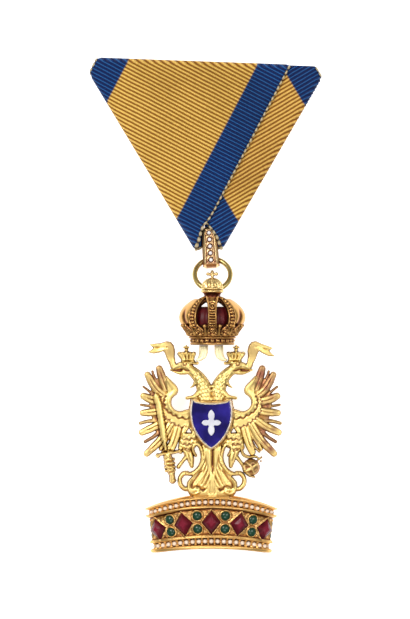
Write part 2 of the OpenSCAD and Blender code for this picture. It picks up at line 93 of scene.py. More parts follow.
def blurred(field, radius):
    """The field blurred by a box of that many cells, three times over."""
    for _ in range(3):
        for axis in (0, 1):
            margins = [(radius + 1, radius) if side == axis else (0, 0) for side in (0, 1)]
            total = np.cumsum(np.pad(field, margins, mode="edge"), axis=axis)
            size = field.shape[axis]
            window = 2 * radius + 1
            far = np.take(total, np.arange(window, window + size), axis=axis)
            near = np.take(total, np.arange(size), axis=axis)
            field = (far - near) / window
    return field


def blurred_round(field, radius, margin=12):
    """The same for a field whose first and last rows meet."""
    padded = np.concatenate([field[-margin:], field, field[:margin]], 0)
    return (blurred(padded, radius) - padded)[margin:-margin]


def full_turn(count):
    return np.linspace(0, 2 * math.pi, count, endpoint=False)


def ring_grid(rows, sides):
    """Corner numbers of rows that run round, and the same moved on by one place round."""
    index = np.arange(rows * sides).reshape(rows, sides)
    return index, np.roll(index, -1, 1)


def tuples(faces):
    return [tuple(int(i) for i in face) for face in faces]


# RELIEFS: the cast pieces are height fields over the badge's plane, turned into closed shells


class Relief:
    """Heights over a grid of u (right) and w (up). Shapes are joined where each is highest.

    edge is the distance inside the outline, below nought outside it, and tint is how far the metal turns to its darker
    colour, for tarnished places and for painted shade in grooves, gaps and recesses."""

    def __init__(self, low, high, step):
        self.step = step
        self.us = np.arange(low[0], high[0] + step, step)
        self.ws = np.arange(low[1], high[1] + step, step)
        self.U, self.W = np.meshgrid(self.us, self.ws)
        self.height = np.full(self.U.shape, -3.0)
        self.edge = np.full(self.U.shape, -3.0)
        self.tint = np.zeros(self.U.shape)

    def room(self, points, margin):
        """The part of the grid round some points."""
        points = np.asarray(points, float)
        i = np.searchsorted(self.us, [points[:, 0].min() - margin, points[:, 0].max() + margin])
        j = np.searchsorted(self.ws, [points[:, 1].min() - margin, points[:, 1].max() + margin])
        return slice(j[0], j[1]), slice(i[0], i[1])

    def near(self, points, where):
        """Distance from a line, the share of its length, and the signed distance to its left."""
        u, w = self.U[where], self.W[where]
        steps = points[1:] - points[:-1]
        lengths = np.maximum(np.hypot(steps[:, 0], steps[:, 1]), 1e-6)
        starts = np.concatenate([[0], np.cumsum(lengths)])
        best = np.full(u.shape, 1e9)
        along = np.zeros(u.shape)
        side = np.zeros(u.shape)
        for k, (step_u, step_w) in enumerate(steps):
            du, dw = u - points[k, 0], w - points[k, 1]
            t = np.clip((du * step_u + dw * step_w) / lengths[k] ** 2, 0, 1)
            off_u, off_w = du - t * step_u, dw - t * step_w
            d = np.hypot(off_u, off_w)
            hit = d < best
            best = np.where(hit, d, best)
            along = np.where(hit, starts[k] + t * lengths[k], along)
            side = np.where(hit, np.sign(step_u * off_w - step_w * off_u) * d, side)
        return best, along / starts[-1], side

    def away(self, place, where):
        """Distance from a place."""
        return np.hypot(self.U[where] - place[0], self.W[where] - place[1])

    def inside(self, outline, where):
        """Distance inside a closed outline, below nought outside it."""
        u, w = self.U[where], self.W[where]
        outline = np.asarray(outline, float)
        best = np.full(u.shape, 1e9)
        odd = np.zeros(u.shape, bool)
        for a, b in zip(outline, np.roll(outline, -1, axis=0)):
            step = b - a
            t = np.clip(((u - a[0]) * step[0] + (w - a[1]) * step[1]) / max(step @ step, 1e-9), 0, 1)
            best = np.minimum(best, np.hypot(u - a[0] - t * step[0], w - a[1] - t * step[1]))
            if a[1] != b[1]:
                cross = (b[0] - a[0]) * (w - a[1]) / (b[1] - a[1]) + a[0]
                odd ^= ((a[1] > w) != (b[1] > w)) & (u < cross)
        return np.where(odd, best, -best)

    def join(self, where, edge, height, tint=0.0):
        old = self.height[where]
        higher = (edge > 0) & (height > old)
        self.height[where] = np.where(higher, height, old)
        self.tint[where] = np.where(higher, tint, self.tint[where])
        self.edge[where] = np.maximum(self.edge[where], edge)

    def darken(self, where, shade):
        self.tint[where] = np.maximum(self.tint[where], shade)

    def tube(self, points, radii, depths, lift=0.0, tint=0.0, ridge=0.0, power=2):
        """A bar along a line, flatter on top with a higher power; radii and depths lie at even shares of it."""
        points = curve(points)
        radii, depths = np.atleast_1d(radii), np.atleast_1d(depths)
        where = self.room(points, float(np.max(radii)) + 0.2)
        d, share, side = self.near(points, where)
        radius = np.interp(share, np.linspace(0, 1, len(radii)), radii)
        depth = np.interp(share, np.linspace(0, 1, len(depths)), depths)
        height = lift + depth * dome(d / radius, power) + ridge * bump(side / radius, 0, 0.16)
        self.join(where, radius - d, height, tint)

    def ball(self, centre, radius, depth, lift=0.0, tint=0.0):
        centre = np.asarray(centre, float)
        where = self.room([centre], radius + 0.1)
        d = self.away(centre, where)
        self.join(where, radius - d, lift + depth * dome(d / radius), tint)

    def plate(self, outline, height, rounding=0.3, tint=0.0):
        """A flat piece inside an outline, with rounded edges; height is a number or a function of u and w."""
        where = self.room(outline, 0.2)
        edge = self.inside(outline, where)
        top = height(self.U[where], self.W[where]) if callable(height) else height
        self.join(where, edge, top - rounding * (1 - dome(1 - np.clip(edge / rounding, 0, 1))), tint)

    def groove(self, points, half, deep, shade=0.0):
        """A line cut into what is there, deepest and darkest at its middle and fading at its ends; its darkening is
        painted shade.
        """
        points = curve(points, max(18, 2 * len(points)))
        where = self.room(points, half * 2.5)
        d, share, _ = self.near(points, where)
        fade = smooth(0, 0.15, share) * (1 - smooth(0.85, 1, share)) * bump(d, 0, half)
        self.height[where] -= deep * fade
        self.darken(where, shade * fade)

    def stain(self, place, radius, shade):
        """A soft tarnished patch."""
        where = self.room([place], radius * 2.2)
        self.darken(where, shade * bump(self.away(place, where), 0, radius))

    def hole(self, outline):
        """Takes a closed outline out of everything."""
        where = self.room(outline, 1.5)
        self.edge[where] = np.minimum(self.edge[where], -self.inside(outline, where))


# Faces of a grid cell by which of its corners A, B, C and D are inside. ab is the crossing between A and B.
CELL_CASES = {
    1: [("A", "ab", "da")],
    2: [("B", "bc", "ab")],
    3: [("A", "B", "bc", "da")],
    4: [("C", "cd", "bc")],
    5: [("A", "ab", "da"), ("C", "cd", "bc")],
    6: [("ab", "B", "C", "cd")],
    7: [("A", "B", "C", "cd", "da")],
    8: [("D", "da", "cd")],
    9: [("A", "ab", "cd", "D")],
    10: [("B", "bc", "ab"), ("D", "da", "cd")],
    11: [("A", "B", "bc", "cd", "D")],
    12: [("C", "D", "da", "bc")],
    13: [("A", "ab", "bc", "C", "D")],
    14: [("B", "C", "D", "da", "ab")],
    15: [("A", "B", "C", "D")]}


class Cut:
    """The part of a grid where edge is above nought, with its corner places, faces and rim."""

    def __init__(self, us, ws, edge):
        inside = edge > 0
        count = int(inside.sum())
        ids = np.full(edge.shape, -1)
        ids[inside] = np.arange(count)
        j, i = np.nonzero(inside)
        sources = [np.stack([j, i, j, i], 1)]
        weights = [np.zeros(len(j))]
        crossed = []
        for dj, di in ((0, 1), (1, 0)):
            first = inside[:edge.shape[0] - dj, :edge.shape[1] - di]
            j, i = np.nonzero(first != inside[dj:, di:])
            near, far = edge[j, i], edge[j + dj, i + di]
            table = np.full(edge.shape, -1)
            table[j, i] = count + np.arange(len(j))
            count += len(j)
            crossed.append(table)
            sources.append(np.stack([j, i, j + dj, i + di], 1))
            weights.append(np.clip(near / (near - far), 0.04, 0.96))
        self.source, self.weight = np.concatenate(sources), np.concatenate(weights)
        self.places = np.stack([self.between(us, 1), self.between(ws, 0)], 1)
        level, upright = crossed
        corner = {"A": ids[:-1, :-1], "B": ids[:-1, 1:], "C": ids[1:, 1:], "D": ids[1:, :-1],
                  "ab": level[:-1, :-1], "cd": level[1:, :-1], "da": upright[:-1, :-1], "bc": upright[:-1, 1:]}
        code = inside[:-1, :-1] * 1 + inside[:-1, 1:] * 2 + inside[1:, 1:] * 4 + inside[1:, :-1] * 8
        faces, rims = [], []
        for case, loops in CELL_CASES.items():
            cells = np.nonzero(code == case)
            for loop in loops if len(cells[0]) else ():
                picked = [corner[name][cells] for name in loop]
                for k in range(1, len(loop) - 1):
                    faces.append(np.stack([picked[0], picked[k], picked[k + 1]], 1))
                for k, name in enumerate(loop):
                    after = (k + 1) % len(loop)
                    if len(name) == 2 and len(loop[after]) == 2:
                        rims.append(np.stack([picked[k], picked[after]], 1))
        self.faces, self.rims = np.concatenate(faces), np.concatenate(rims)

    def between(self, line, axis):
        """Places on one axis of the grid."""
        return line[self.source[:, axis]] * (1 - self.weight) + line[self.source[:, axis + 2]] * self.weight

    def sampled(self, field):
        near, far = field[self.source[:, 0], self.source[:, 1]], field[self.source[:, 2], self.source[:, 3]]
        return near * (1 - self.weight) + far * self.weight


def relief_shell(relief, place, back=None, bevel=0.24, least=0.05, soften=1):
    """A relief as a closed shell: corner places, faces and attributes.

    place maps (u, w, height) to metres. back is how far the shell reaches behind nought; without it the back
    is the front's mirror image. bevel is the width of the rounded edge and least the height at its rim."""
    edge = relief.edge
    front = np.maximum(relief.height, 0.0)
    front = 0.5 * (front + blurred(front, soften)) if soften else front
    limit = least + bevel * 1.7 * np.sqrt(np.clip(edge / bevel, 0, 1)) + 4.5 * np.maximum(edge - bevel * 0.6, 0)
    front = np.maximum(np.minimum(front, limit), least)
    behind = front if back is None else np.minimum(back, limit)
    # The cavity attribute is painted shade: darker where the front lies below its blurred surroundings, and along the
    # outline's rim.
    wide = blurred(front, max(2, int(0.32 / relief.step)))
    cavity = np.clip((wide - front) / 0.22, -1, 1)
    cavity = np.clip(cavity + 0.55 * (1 - smooth(0.02, 0.24, edge)), -1, 1)
    cut = Cut(relief.us, relief.ws, edge)
    us, ws = cut.places.T
    n = len(us)
    rim, after = cut.rims.T
    walls = np.concatenate([np.stack([after, rim, rim + n], 1), np.stack([after, rim + n, after + n], 1)])
    verts = np.concatenate([place(us, ws, cut.sampled(front)), place(us, ws, -cut.sampled(behind))])
    faces = np.concatenate([cut.faces, cut.faces[:, ::-1] + n, walls])
    return verts, faces, {"cavity": np.tile(cut.sampled(cavity), 2), "tint": np.tile(cut.sampled(relief.tint), 2)}


def piece(name, shell, material, nodes, smooth_shaded=True):
    """A visible piece on the body, in the place of the old nodes; shell is corner places, faces and attributes."""
    verts, faces, attributes = shell
    data = bpy.data.meshes.new(name)
    data.from_pydata([tuple(v) for v in np.asarray(verts, float)], [], tuples(faces))
    data.update()
    for key, values in attributes.items():
        layer = data.attributes.new(key, "FLOAT", "POINT")
        layer.data.foreach_set("value", np.asarray(values, np.float32).ravel())
    data.polygons.foreach_set("use_smooth", np.full(len(data.polygons), smooth_shaded))
    data.materials.append(material)
    made = bpy.data.objects.new(name, data)
    bpy.context.scene.collection.objects.link(made)
    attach(made, "root")
    for node in nodes:
        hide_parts(node)
    return made


# MATERIALS


class Paint:
    """The nodes of one procedural material."""

    def __init__(self, name):
        self.material = bpy.data.materials.new(name)
        self.material.use_nodes = True
        self.nodes = self.material.node_tree.nodes
        self.links = self.material.node_tree.links
        self.shader = self.nodes["Principled BSDF"]

    def fill(self, node, sockets):
        """Sets or joins a node's inputs, each under its name or number."""
        for key, value in sockets.items():
            if isinstance(value, bpy.types.NodeSocket):
                self.links.new(value, node.inputs[key])
            else:
                node.inputs[key].default_value = value

    def surface(self, **sockets):
        """The shader's inputs, with underscores for the spaces in their names."""
        self.fill(self.shader, {key.replace("_", " "): value for key, value in sockets.items()})

    def node(self, kind, sockets, **settings):
        made = self.nodes.new("ShaderNode" + kind)
        for key, value in settings.items():
            setattr(made, key, value)
        self.fill(made, sockets)
        return made.outputs

    def ramp(self, source, stops):
        node = self.nodes.new("ShaderNodeValToRGB")
        elements = node.color_ramp.elements
        while len(elements) < len(stops):
            elements.new(0.5)
        for element, (place, colour) in zip(elements, stops):
            element.position = place
            element.color = (*colour, 1)
        self.links.new(source, node.inputs[0])
        return node.outputs[0]

    def noise(self, scale, detail=4.0, where=None):
        """A cloud over the piece's own coordinates, or over others."""
        where = self.node("TexCoord", {})["Object"] if where is None else where
        return self.node("TexNoise", {"Scale": scale, "Detail": detail, "Vector": where})["Fac"]

    def attribute(self, name):
        return self.node("Attribute", {}, attribute_name=name)["Fac"]

    def calculate(self, operation, *values):
        return self.node("Math", dict(enumerate(values)), operation=operation)[0]

    def spread(self, source, low, high):
        return self.node("MapRange", {0: source, "To Min": low, "To Max": high})[0]

    def mix(self, share, first, second, mode="MIX"):
        """Two colours blended; the second may be three plain numbers."""
        sockets = {0: share, 6: first, 7: (*second, 1) if isinstance(second, tuple) else second}
        return self.node("Mix", sockets, data_type="RGBA", blend_type=mode)[2]

    def raise_surface(self, height, strength, distance):
        """A fine relief in the shading, its distance in millimetres."""
        sockets = {"Strength": strength, "Distance": distance * MM, "Height": height}
        self.surface(Normal=self.node("Bump", sockets)[0])


def grey(value):
    return (value, value, value)


def gold(name, bright, deep, brown, rough=0.44, grain=0.03, lean=0.5, tarnish_and_shade=(0.30, 0.12, 0.06)):
    """Worn cast gold: bright on the high places, orange and brown in the hollows as painted shade and some tarnished
    colour, with a fine cast skin.

    lean is how deep a hollow has to be for the deep colour. The last colour is blended in where the tint attribute is
    high, for tarnished places and for painted shade."""
    paint = Paint(name)
    cloud = paint.noise(420, 5)
    hollow = paint.calculate("MULTIPLY_ADD", cloud, 0.35, paint.attribute("cavity"))
    stops = [(0.0, bright), (lean * 0.62, bright), (lean, deep), (min(1.0, lean + 0.45), brown)]
    colour = paint.mix(paint.attribute("tint"), paint.ramp(hollow, stops), tarnish_and_shade)
    paint.surface(Base_Color=colour, Metallic=0.92, Roughness=paint.spread(cloud, rough - 0.07, rough + 0.12))
    paint.raise_surface(paint.noise(2600, 3), 0.35, grain)
    return paint.material


def jewel(name, light, dark, rough=0.06, scale=500, coat=0.0, table=None, gloss=0.5):
    """A stone, pearl or enamel: colour that shifts with a soft cloud under a polished face.

    table is its colour where the tint attribute is high, on top of the stone: a painted highlight."""
    paint = Paint(name)
    cloud = paint.noise(scale, 3)
    tone = paint.ramp(cloud, [(0.35, dark), (0.68, light)])
    if table is not None:
        tone = paint.mix(paint.attribute("tint"), tone, table)
    paint.surface(Base_Color=tone, Roughness=paint.spread(cloud, rough, rough + 0.08), Specular_IOR_Level=gloss,
                  Coat_Weight=coat, Coat_Roughness=0.03)
    return paint.material


GOLD = gold(
    "gold", (0.96, 0.72, 0.26), (0.62, 0.33, 0.06), (0.10, 0.035, 0.008),
    rough=0.38, grain=0.025, lean=0.42, tarnish_and_shade=(0.30, 0.115, 0.065))
GOLD_PALE = gold("pale_gold", (1.0, 0.88, 0.55), (0.85, 0.62, 0.28), (0.40, 0.20, 0.06), rough=0.5)
GOLD_BAND = gold(
    "band_gold", (0.86, 0.52, 0.17), (0.46, 0.18, 0.035), (0.07, 0.02, 0.006), rough=0.32, grain=0.05, lean=0.4)
GOLD_CROWN = gold(
    "crown_gold", (0.64, 0.355, 0.11), (0.36, 0.13, 0.035), (0.03, 0.006, 0.003),
    rough=0.29, lean=0.36, tarnish_and_shade=(0.13, 0.035, 0.018))
GOLD_ORB = gold("orb_gold", (0.90, 0.66, 0.28), (0.50, 0.27, 0.07), (0.08, 0.02, 0.008), rough=0.32, lean=0.4)
GOLD_RING = gold("ring_gold", (0.57, 0.42, 0.15), (0.38, 0.25, 0.06), (0.13, 0.06, 0.015), rough=0.3)
GOLD_BAIL = gold(
    "bail_gold", (0.95, 0.68, 0.34), (0.58, 0.28, 0.12), (0.08, 0.02, 0.01),
    rough=0.3, lean=0.34, tarnish_and_shade=(0.24, 0.07, 0.045))
GOLD_RIM = gold("rim_gold", (1.0, 0.90, 0.77), (0.90, 0.64, 0.44), (0.22, 0.09, 0.04), rough=0.36, grain=0.02)
STEEL = gold("pin_steel", (0.6, 0.58, 0.55), (0.5, 0.48, 0.45), (0.3, 0.28, 0.25))
# Each stone's table colour is a painted highlight on its top.
RUBY = jewel(
    "ruby", (0.13, 0.004, 0.008), (0.03, 0.0, 0.002), rough=0.22, scale=700, table=(0.22, 0.012, 0.03), gloss=0.28)
GREEN = jewel(
    "green_stone", (0.006, 0.030, 0.014), (0.001, 0.008, 0.004),
    rough=0.12, scale=700, coat=0.1, table=(0.012, 0.06, 0.03), gloss=0.36)
BLUE_ENAMEL = jewel("blue_enamel", (0.022, 0.012, 0.26), (0.004, 0.001, 0.09), rough=0.14, scale=230, coat=0.2)
WHITE_ENAMEL = jewel("white_enamel", (0.86, 0.85, 0.90), (0.72, 0.71, 0.80), rough=0.22, scale=400, coat=0.4)
WHITE_BEAD = jewel(
    "white_bead", (0.95, 0.86, 0.84), (0.85, 0.70, 0.68), rough=0.2, scale=900, coat=0.3, table=(1.0, 0.98, 0.97))
PEARL = jewel(
    "pearl", (0.74, 0.52, 0.36), (0.48, 0.29, 0.18), rough=0.24, scale=900, coat=0.3, table=(0.96, 0.82, 0.66))
CAP_RED = jewel("cap_enamel", (0.14, 0.011, 0.013), (0.045, 0.002, 0.005), rough=0.36, scale=420, gloss=0.22)

# The cloth's own coordinates run across the strip, then along it, a hundredth of a unit for each millimetre
CLOTH_UNIT = 0.01
STRIP_WIDE = 40.0
BORDER = 6.5
BORDER_BLUR = 0.25
CORD_PITCH = 0.82
CORD_DEPTH = 0.24


def cloth_material():
    """Ribbed silk: golden yellow between blue borders, with cords across the strip."""
    paint = Paint("ribbed_silk")
    strip = paint.node("UVMap", {}, uv_map="strip")[0]
    across, along, _ = paint.node("SeparateXYZ", {0: strip})
    pushed = paint.calculate("MULTIPLY_ADD", paint.noise(9, 3, strip), 0.0035, along)
    turns = paint.calculate("MULTIPLY", pushed, 2 * math.pi / (CORD_PITCH * CLOTH_UNIT))
    cord = paint.calculate("MULTIPLY_ADD", paint.calculate("SINE", turns), 0.5, 0.5)
    first, last = BORDER / STRIP_WIDE, 1 - BORDER / STRIP_WIDE
    blur = BORDER_BLUR / STRIP_WIDE
    stripe = paint.ramp(paint.calculate("MULTIPLY", across, 1 / (STRIP_WIDE * CLOTH_UNIT)), [
        (0.0, grey(0.0)), (first, grey(0.0)), (first + blur, grey(1.0)), (last - blur, grey(1.0)), (last, grey(0.0))])
    # The cords' colour runs from painted shade in the grooves between them to a painted highlight on their crests.
    yellow = paint.ramp(cord, [
        (0.0, (0.22, 0.07, 0.006)), (0.22, (0.42, 0.18, 0.016)), (0.5, (0.76, 0.41, 0.06)), (1.0, (0.98, 0.64, 0.16))])
    blue = paint.ramp(cord, [
        (0.0, (0.0008, 0.009, 0.055)), (0.3, (0.0015, 0.022, 0.14)), (0.86, (0.0025, 0.032, 0.18)),
        (1.0, (0.028, 0.15, 0.36))])
    thread = paint.noise(60, 4, paint.node("Mapping", {0: strip, "Scale": (14, 1.0, 1)})[0])
    tone = paint.mix(stripe, blue, yellow)
    # Soil in soft patches, painted shade on the right-hand layer, and the grain of the threads
    for source, stops in (
            (paint.noise(3.2, 5, strip), [(0.34, (0.80, 0.78, 0.72)), (0.52, grey(1.0)), (0.7, (1.06, 1.06, 1.08))]),
            (along, [(0.57, grey(1.0)), (0.6, (0.92, 0.87, 0.88))]),
            (thread, [(0.3, grey(0.80)), (0.7, grey(1.12))])):
        tone = paint.mix(1.0, tone, paint.ramp(source, stops), "MULTIPLY")
    paint.surface(Base_Color=tone, Roughness=0.5, Specular_IOR_Level=0.22, Sheen_Weight=0.04, Sheen_Roughness=0.4)
    paint.raise_surface(paint.calculate("MULTIPLY_ADD", thread, 0.25, cord), 0.9, CORD_DEPTH)
    return paint.material


def thread_material():
    """Beige selvedge thread, with painted shade where its loops meet."""
    paint = Paint("selvedge_thread")
    cloud = paint.noise(1500, 4)
    share = paint.calculate("MULTIPLY_ADD", cloud, 0.3, paint.attribute("cavity"))
    tone = paint.ramp(share, [(0.12, (0.62, 0.52, 0.32)), (0.45, (0.36, 0.27, 0.13)), (0.8, (0.035, 0.02, 0.012))])
    paint.surface(Base_Color=tone, Roughness=0.7, Sheen_Weight=0.1)
    paint.raise_surface(cloud, 0.5, 0.08)
    return paint.material


CLOTH = cloth_material()
THREAD = thread_material()


# EAGLE, measured in pixels on its right-hand half; the left-hand half is its mirror image


def to_left(*places):
    return points_at(*places) * [-1, 1]


def to_wide_left(*places):
    """Mirrored, and carried a little further out towards the feathers' tips, as the photograph shows."""
    made = to_left(*places)
    made[:, 0] -= 0.055 * np.maximum(-made[:, 0] - 7, 0)
    return made


def to_tail_right(*places):
    """The tail is measured on its left-hand half, and its middle is at 212.05."""
    return points_at(*[(424.1 - x, y) for x, y in places])


class Pen:
    """Draws on a relief from places and widths in pixels; place turns the places into millimetres."""

    def __init__(self, relief, place):
        self.relief = relief
        self.place = place

    def tube(self, line, radii, depths, *rest, **kind):
        self.relief.tube(self.place(*line), np.multiply(radii, PIXEL), depths, *rest, **kind)

    def ball(self, centre, radius, *rest):
        self.relief.ball(self.place(centre)[0], radius * PIXEL, *rest)

    def stain(self, centre, radius, shade):
        self.relief.stain(self.place(centre)[0], radius * PIXEL, shade)

    def plate(self, outline, *rest):
        self.relief.plate(self.place(*outline), *rest)

    def groove(self, line, *rest):
        self.relief.groove(self.place(*line), *rest)

    def hole(self, outline):
        self.relief.hole(self.place(*outline))

    def feather(self, line, half, lift, tint):
        """A long flat feather: a thin rim, two ridges with a groove between them that fades at the tip, and barbs."""
        relief = self.relief
        points = curve(self.place(*line))
        where = relief.room(points, half * PIXEL + 0.2)
        d, share, side = relief.near(points, where)
        radius = half * PIXEL * np.interp(share, [0, 0.4, 0.75, 1], [0.85, 0.98, 1.0, 0.8])
        x, off = np.clip(d / radius, 0, 1), np.abs(side)
        fade = 1 - smooth(0.72, 0.95, share)
        ridges = 0.1 * bump(x, 0.72, 0.12) + 0.1 * bump(off / radius, 0.27, 0.12) * fade
        ridges = ridges - 0.24 * bump(side / radius, 0, 0.1) * fade
        length = np.hypot(*(points[-1] - points[0]))
        barbs = 0.02 * np.sin((share * length + off * 0.9) / 0.36 * 2 * math.pi) * bump(off / radius, 0.5, 0.16)
        # The tint term is the feather's tarnish, strongest towards its tip; the darkening in its middle groove and
        # along its edge is painted shade.
        shade = tint * (0.4 + 0.6 * bump(share, 0.75, 0.35))
        shade = shade + 0.34 * bump(side / radius, 0, 0.13) * fade + 0.3 * smooth(0.86, 1.0, x)
        relief.join(where, radius - d, lift + 0.42 * dome(x, 3) + ridges + barbs, shade)

    def scale(self, root, end, half, lift):
        """A short flat feather with a round end; neighbours join to a plate with a scalloped edge."""
        relief = self.relief
        points = curve(self.place(root, end), 4)
        where = relief.room(points, half * PIXEL + 0.2)
        d, share, _ = relief.near(points, where)
        length = np.hypot(*(points[-1] - points[0]))
        radius = half * PIXEL * np.interp(share, [0, 1], [0.95, 1.0])
        dent = 0.1 * bump((share - 0.6) * length, 0, 0.16) * bump(d, 0, 0.12)
        relief.join(where, radius - d, lift + 0.2 * dome(d / radius, 7) - dent)


# Points in each arc of a scalloped line
ARC_POINTS = 7


def scalloped(corners, depth):
    """The corners joined by arcs that reach out to the right of the way by a share of their length."""
    points = []
    for (x0, y0), (x1, y1) in zip(corners[:-1], corners[1:]):
        for t in np.arange(ARC_POINTS) / ARC_POINTS:
            out = 4 * t * (1 - t) * depth
            points.append((x0 + t * (x1 - x0) + out * (y0 - y1), y0 + t * (y1 - y0) + out * (x1 - x0)))
    return points + [corners[-1]]


WING_GROUND = (
    (256.5, 376), (261, 377), (267.4, 379.5), (269.5, 386), (270.4, 392), (271.6, 398), (272, 404.6),
    (270.6, 411), (269.4, 417), (267.6, 423.6), (266, 431), (262, 437.4), (256, 440), (249.5, 440.5), (243, 438),
    (236.5, 436), (231, 431), (230.5, 408), (243, 411), (250, 400), (250, 388))
# Feathers as root, middle, tip, half width and tarnish
THIN_FEATHERS = (
    ((263, 384), (267.1, 376.6), (268.7, 371.4), 1.3, 0.85), ((268, 395), (272.5, 390.5), (277.2, 386.8), 1.2, 0.8),
    ((266, 407), (272, 406), (279.6, 404.8), 1.3, 0.7), ((264, 420.5), (273, 421.3), (280.2, 423.2), 1.7, 0.45),
    ((261, 431), (268, 437), (275.6, 441.7), 1.7, 0.85), ((251, 441), (255, 447), (259.3, 451.6), 1.2, 0.4))
LONG_FEATHERS = (
    ((255.3, 389.4), (259.4, 378), (262.2, 368.6), 3.7, 0.75), ((257, 396), (266, 388), (273.3, 374.7), 3.5, 0.4),
    ((259.5, 402), (269, 399.6), (277, 396.1), 3.8, 0.2), ((257.5, 410.2), (268, 412), (277.7, 412.9), 3.5, 0.0),
    ((254.6, 418), (264.8, 425.6), (278.6, 432.4), 3.5, 0.0), ((250.5, 422.5), (261, 439.6), (274, 453.6), 3.5, 0.08),
    ((243.8, 425), (247.5, 439), (252.3, 452), 3.8, 0.0), ((236.6, 426), (239, 437), (241.8, 447.5), 3.0, 0.0))
NEAR_ROW = scalloped((
    (232.2, 416.0), (240.1, 416.9), (246.4, 414.9), (250.8, 412.3), (254.7, 409.6), (256.5, 405.0), (257.0, 400.4),
    (255.6, 396.7), (254.2, 393.0)), 0.36)
FAR_ROW = scalloped((
    (232.2, 424.6), (238.1, 426.0), (243.6, 425.0), (248.2, 422.4), (252.4, 419.4), (256.0, 416.6), (258.6, 413.2),
    (260.2, 409.0), (261.0, 404.6), (260.4, 400.2), (258.6, 396.4), (256.4, 392.6)), 0.38)
WING_LEAD = (
    (254.6, 388.6), (256.2, 381), (256.2, 376.2), (252.4, 380.6), (248.6, 383.8), (245, 387.5), (244, 390.6),
    (246.6, 393.6), (250.2, 397), (251, 403), (248.4, 408.2), (243, 411), (237, 410.5), (232.2, 408))
WING_BONE = (
    (231.5, 410.6), (237, 412.6), (243, 413.0), (249.8, 410.2), (253.0, 404), (252.2, 397.5), (248.6, 393.4),
    (247.0, 390.4), (248.4, 386.8), (252, 382.4), (255.4, 377))
# Patches of tarnish as x, y, radius and shade
WING_STAINS = (
    (262.5, 372, 5, 0.65), (259, 383, 5, 0.55), (266, 387.4, 5, 0.5), (272, 379, 4, 0.35), (271, 394.6, 4.2, 0.5),
    (267.4, 405.6, 4.4, 0.5), (268, 418.6, 5, 0.45), (263.4, 431.6, 5.5, 0.5), (273.6, 429, 3.6, 0.4),
    (270.6, 448.6, 5, 0.62), (265.5, 442, 4.5, 0.45), (254.6, 443.4, 4.4, 0.35), (275, 397.6, 3.6, 0.35),
    (274.8, 412.8, 3.4, 0.3))
# The round opening between wing and neck
WING_EYE = (242.6, 402.6)
WING_EYE_RADIUS = 8.5


def draw_wing(pen, warm):
    """One wing; warm makes its tarnished feathers browner."""
    pen.plate(WING_GROUND, 0.42, 0.3, 0.55)
    for root, middle, tip, half, tint in THIN_FEATHERS:
        pen.tube((root, middle, tip), (half * 1.5, half * 1.1, half), 0.38, 0.12, tint, ridge=0.1)
    for i, (root, middle, tip, half, tint) in enumerate(LONG_FEATHERS):
        pen.feather((root, middle, tip), half + 0.6, 0.36 + 0.06 * (i % 2), min(1.0, tint * warm))
    pen.feather(((248, 424), (253.5, 436), (261, 449)), 2.4, 0.2, 0.1)
    pen.plate((*FAR_ROW, *WING_LEAD), 0.78, 0.22)
    pen.plate((*NEAR_ROW, *WING_LEAD), 1.04, 0.2)
    for row in (NEAR_ROW, FAR_ROW):
        pen.groove(row, 0.17, 0.2, 0.9)
    for x, y in NEAR_ROW[ARC_POINTS:-1:ARC_POINTS]:
        pen.groove(((x, y), (x + 0.4 * (x - WING_EYE[0]) / 3.4, y + 0.4 * (y - WING_EYE[1]) / 3.4)), 0.12, 0.2, 0.5)
    pen.tube(WING_BONE, (1.9, 1.9, 1.9, 1.9, 1.9, 2.1, 2.6, 3.2, 2.9, 2.3, 1.2), 0.3, 0.92)
    for x, y, radius, shade in WING_STAINS:
        pen.stain((x, y), radius, min(1.0, shade * warm))
    around = np.linspace(0, 2 * math.pi, 26)[:-1]
    reach = WING_EYE_RADIUS * PIXEL
    pen.relief.hole(pen.place(WING_EYE) + np.stack([reach * np.cos(around), reach * np.sin(around)], 1))


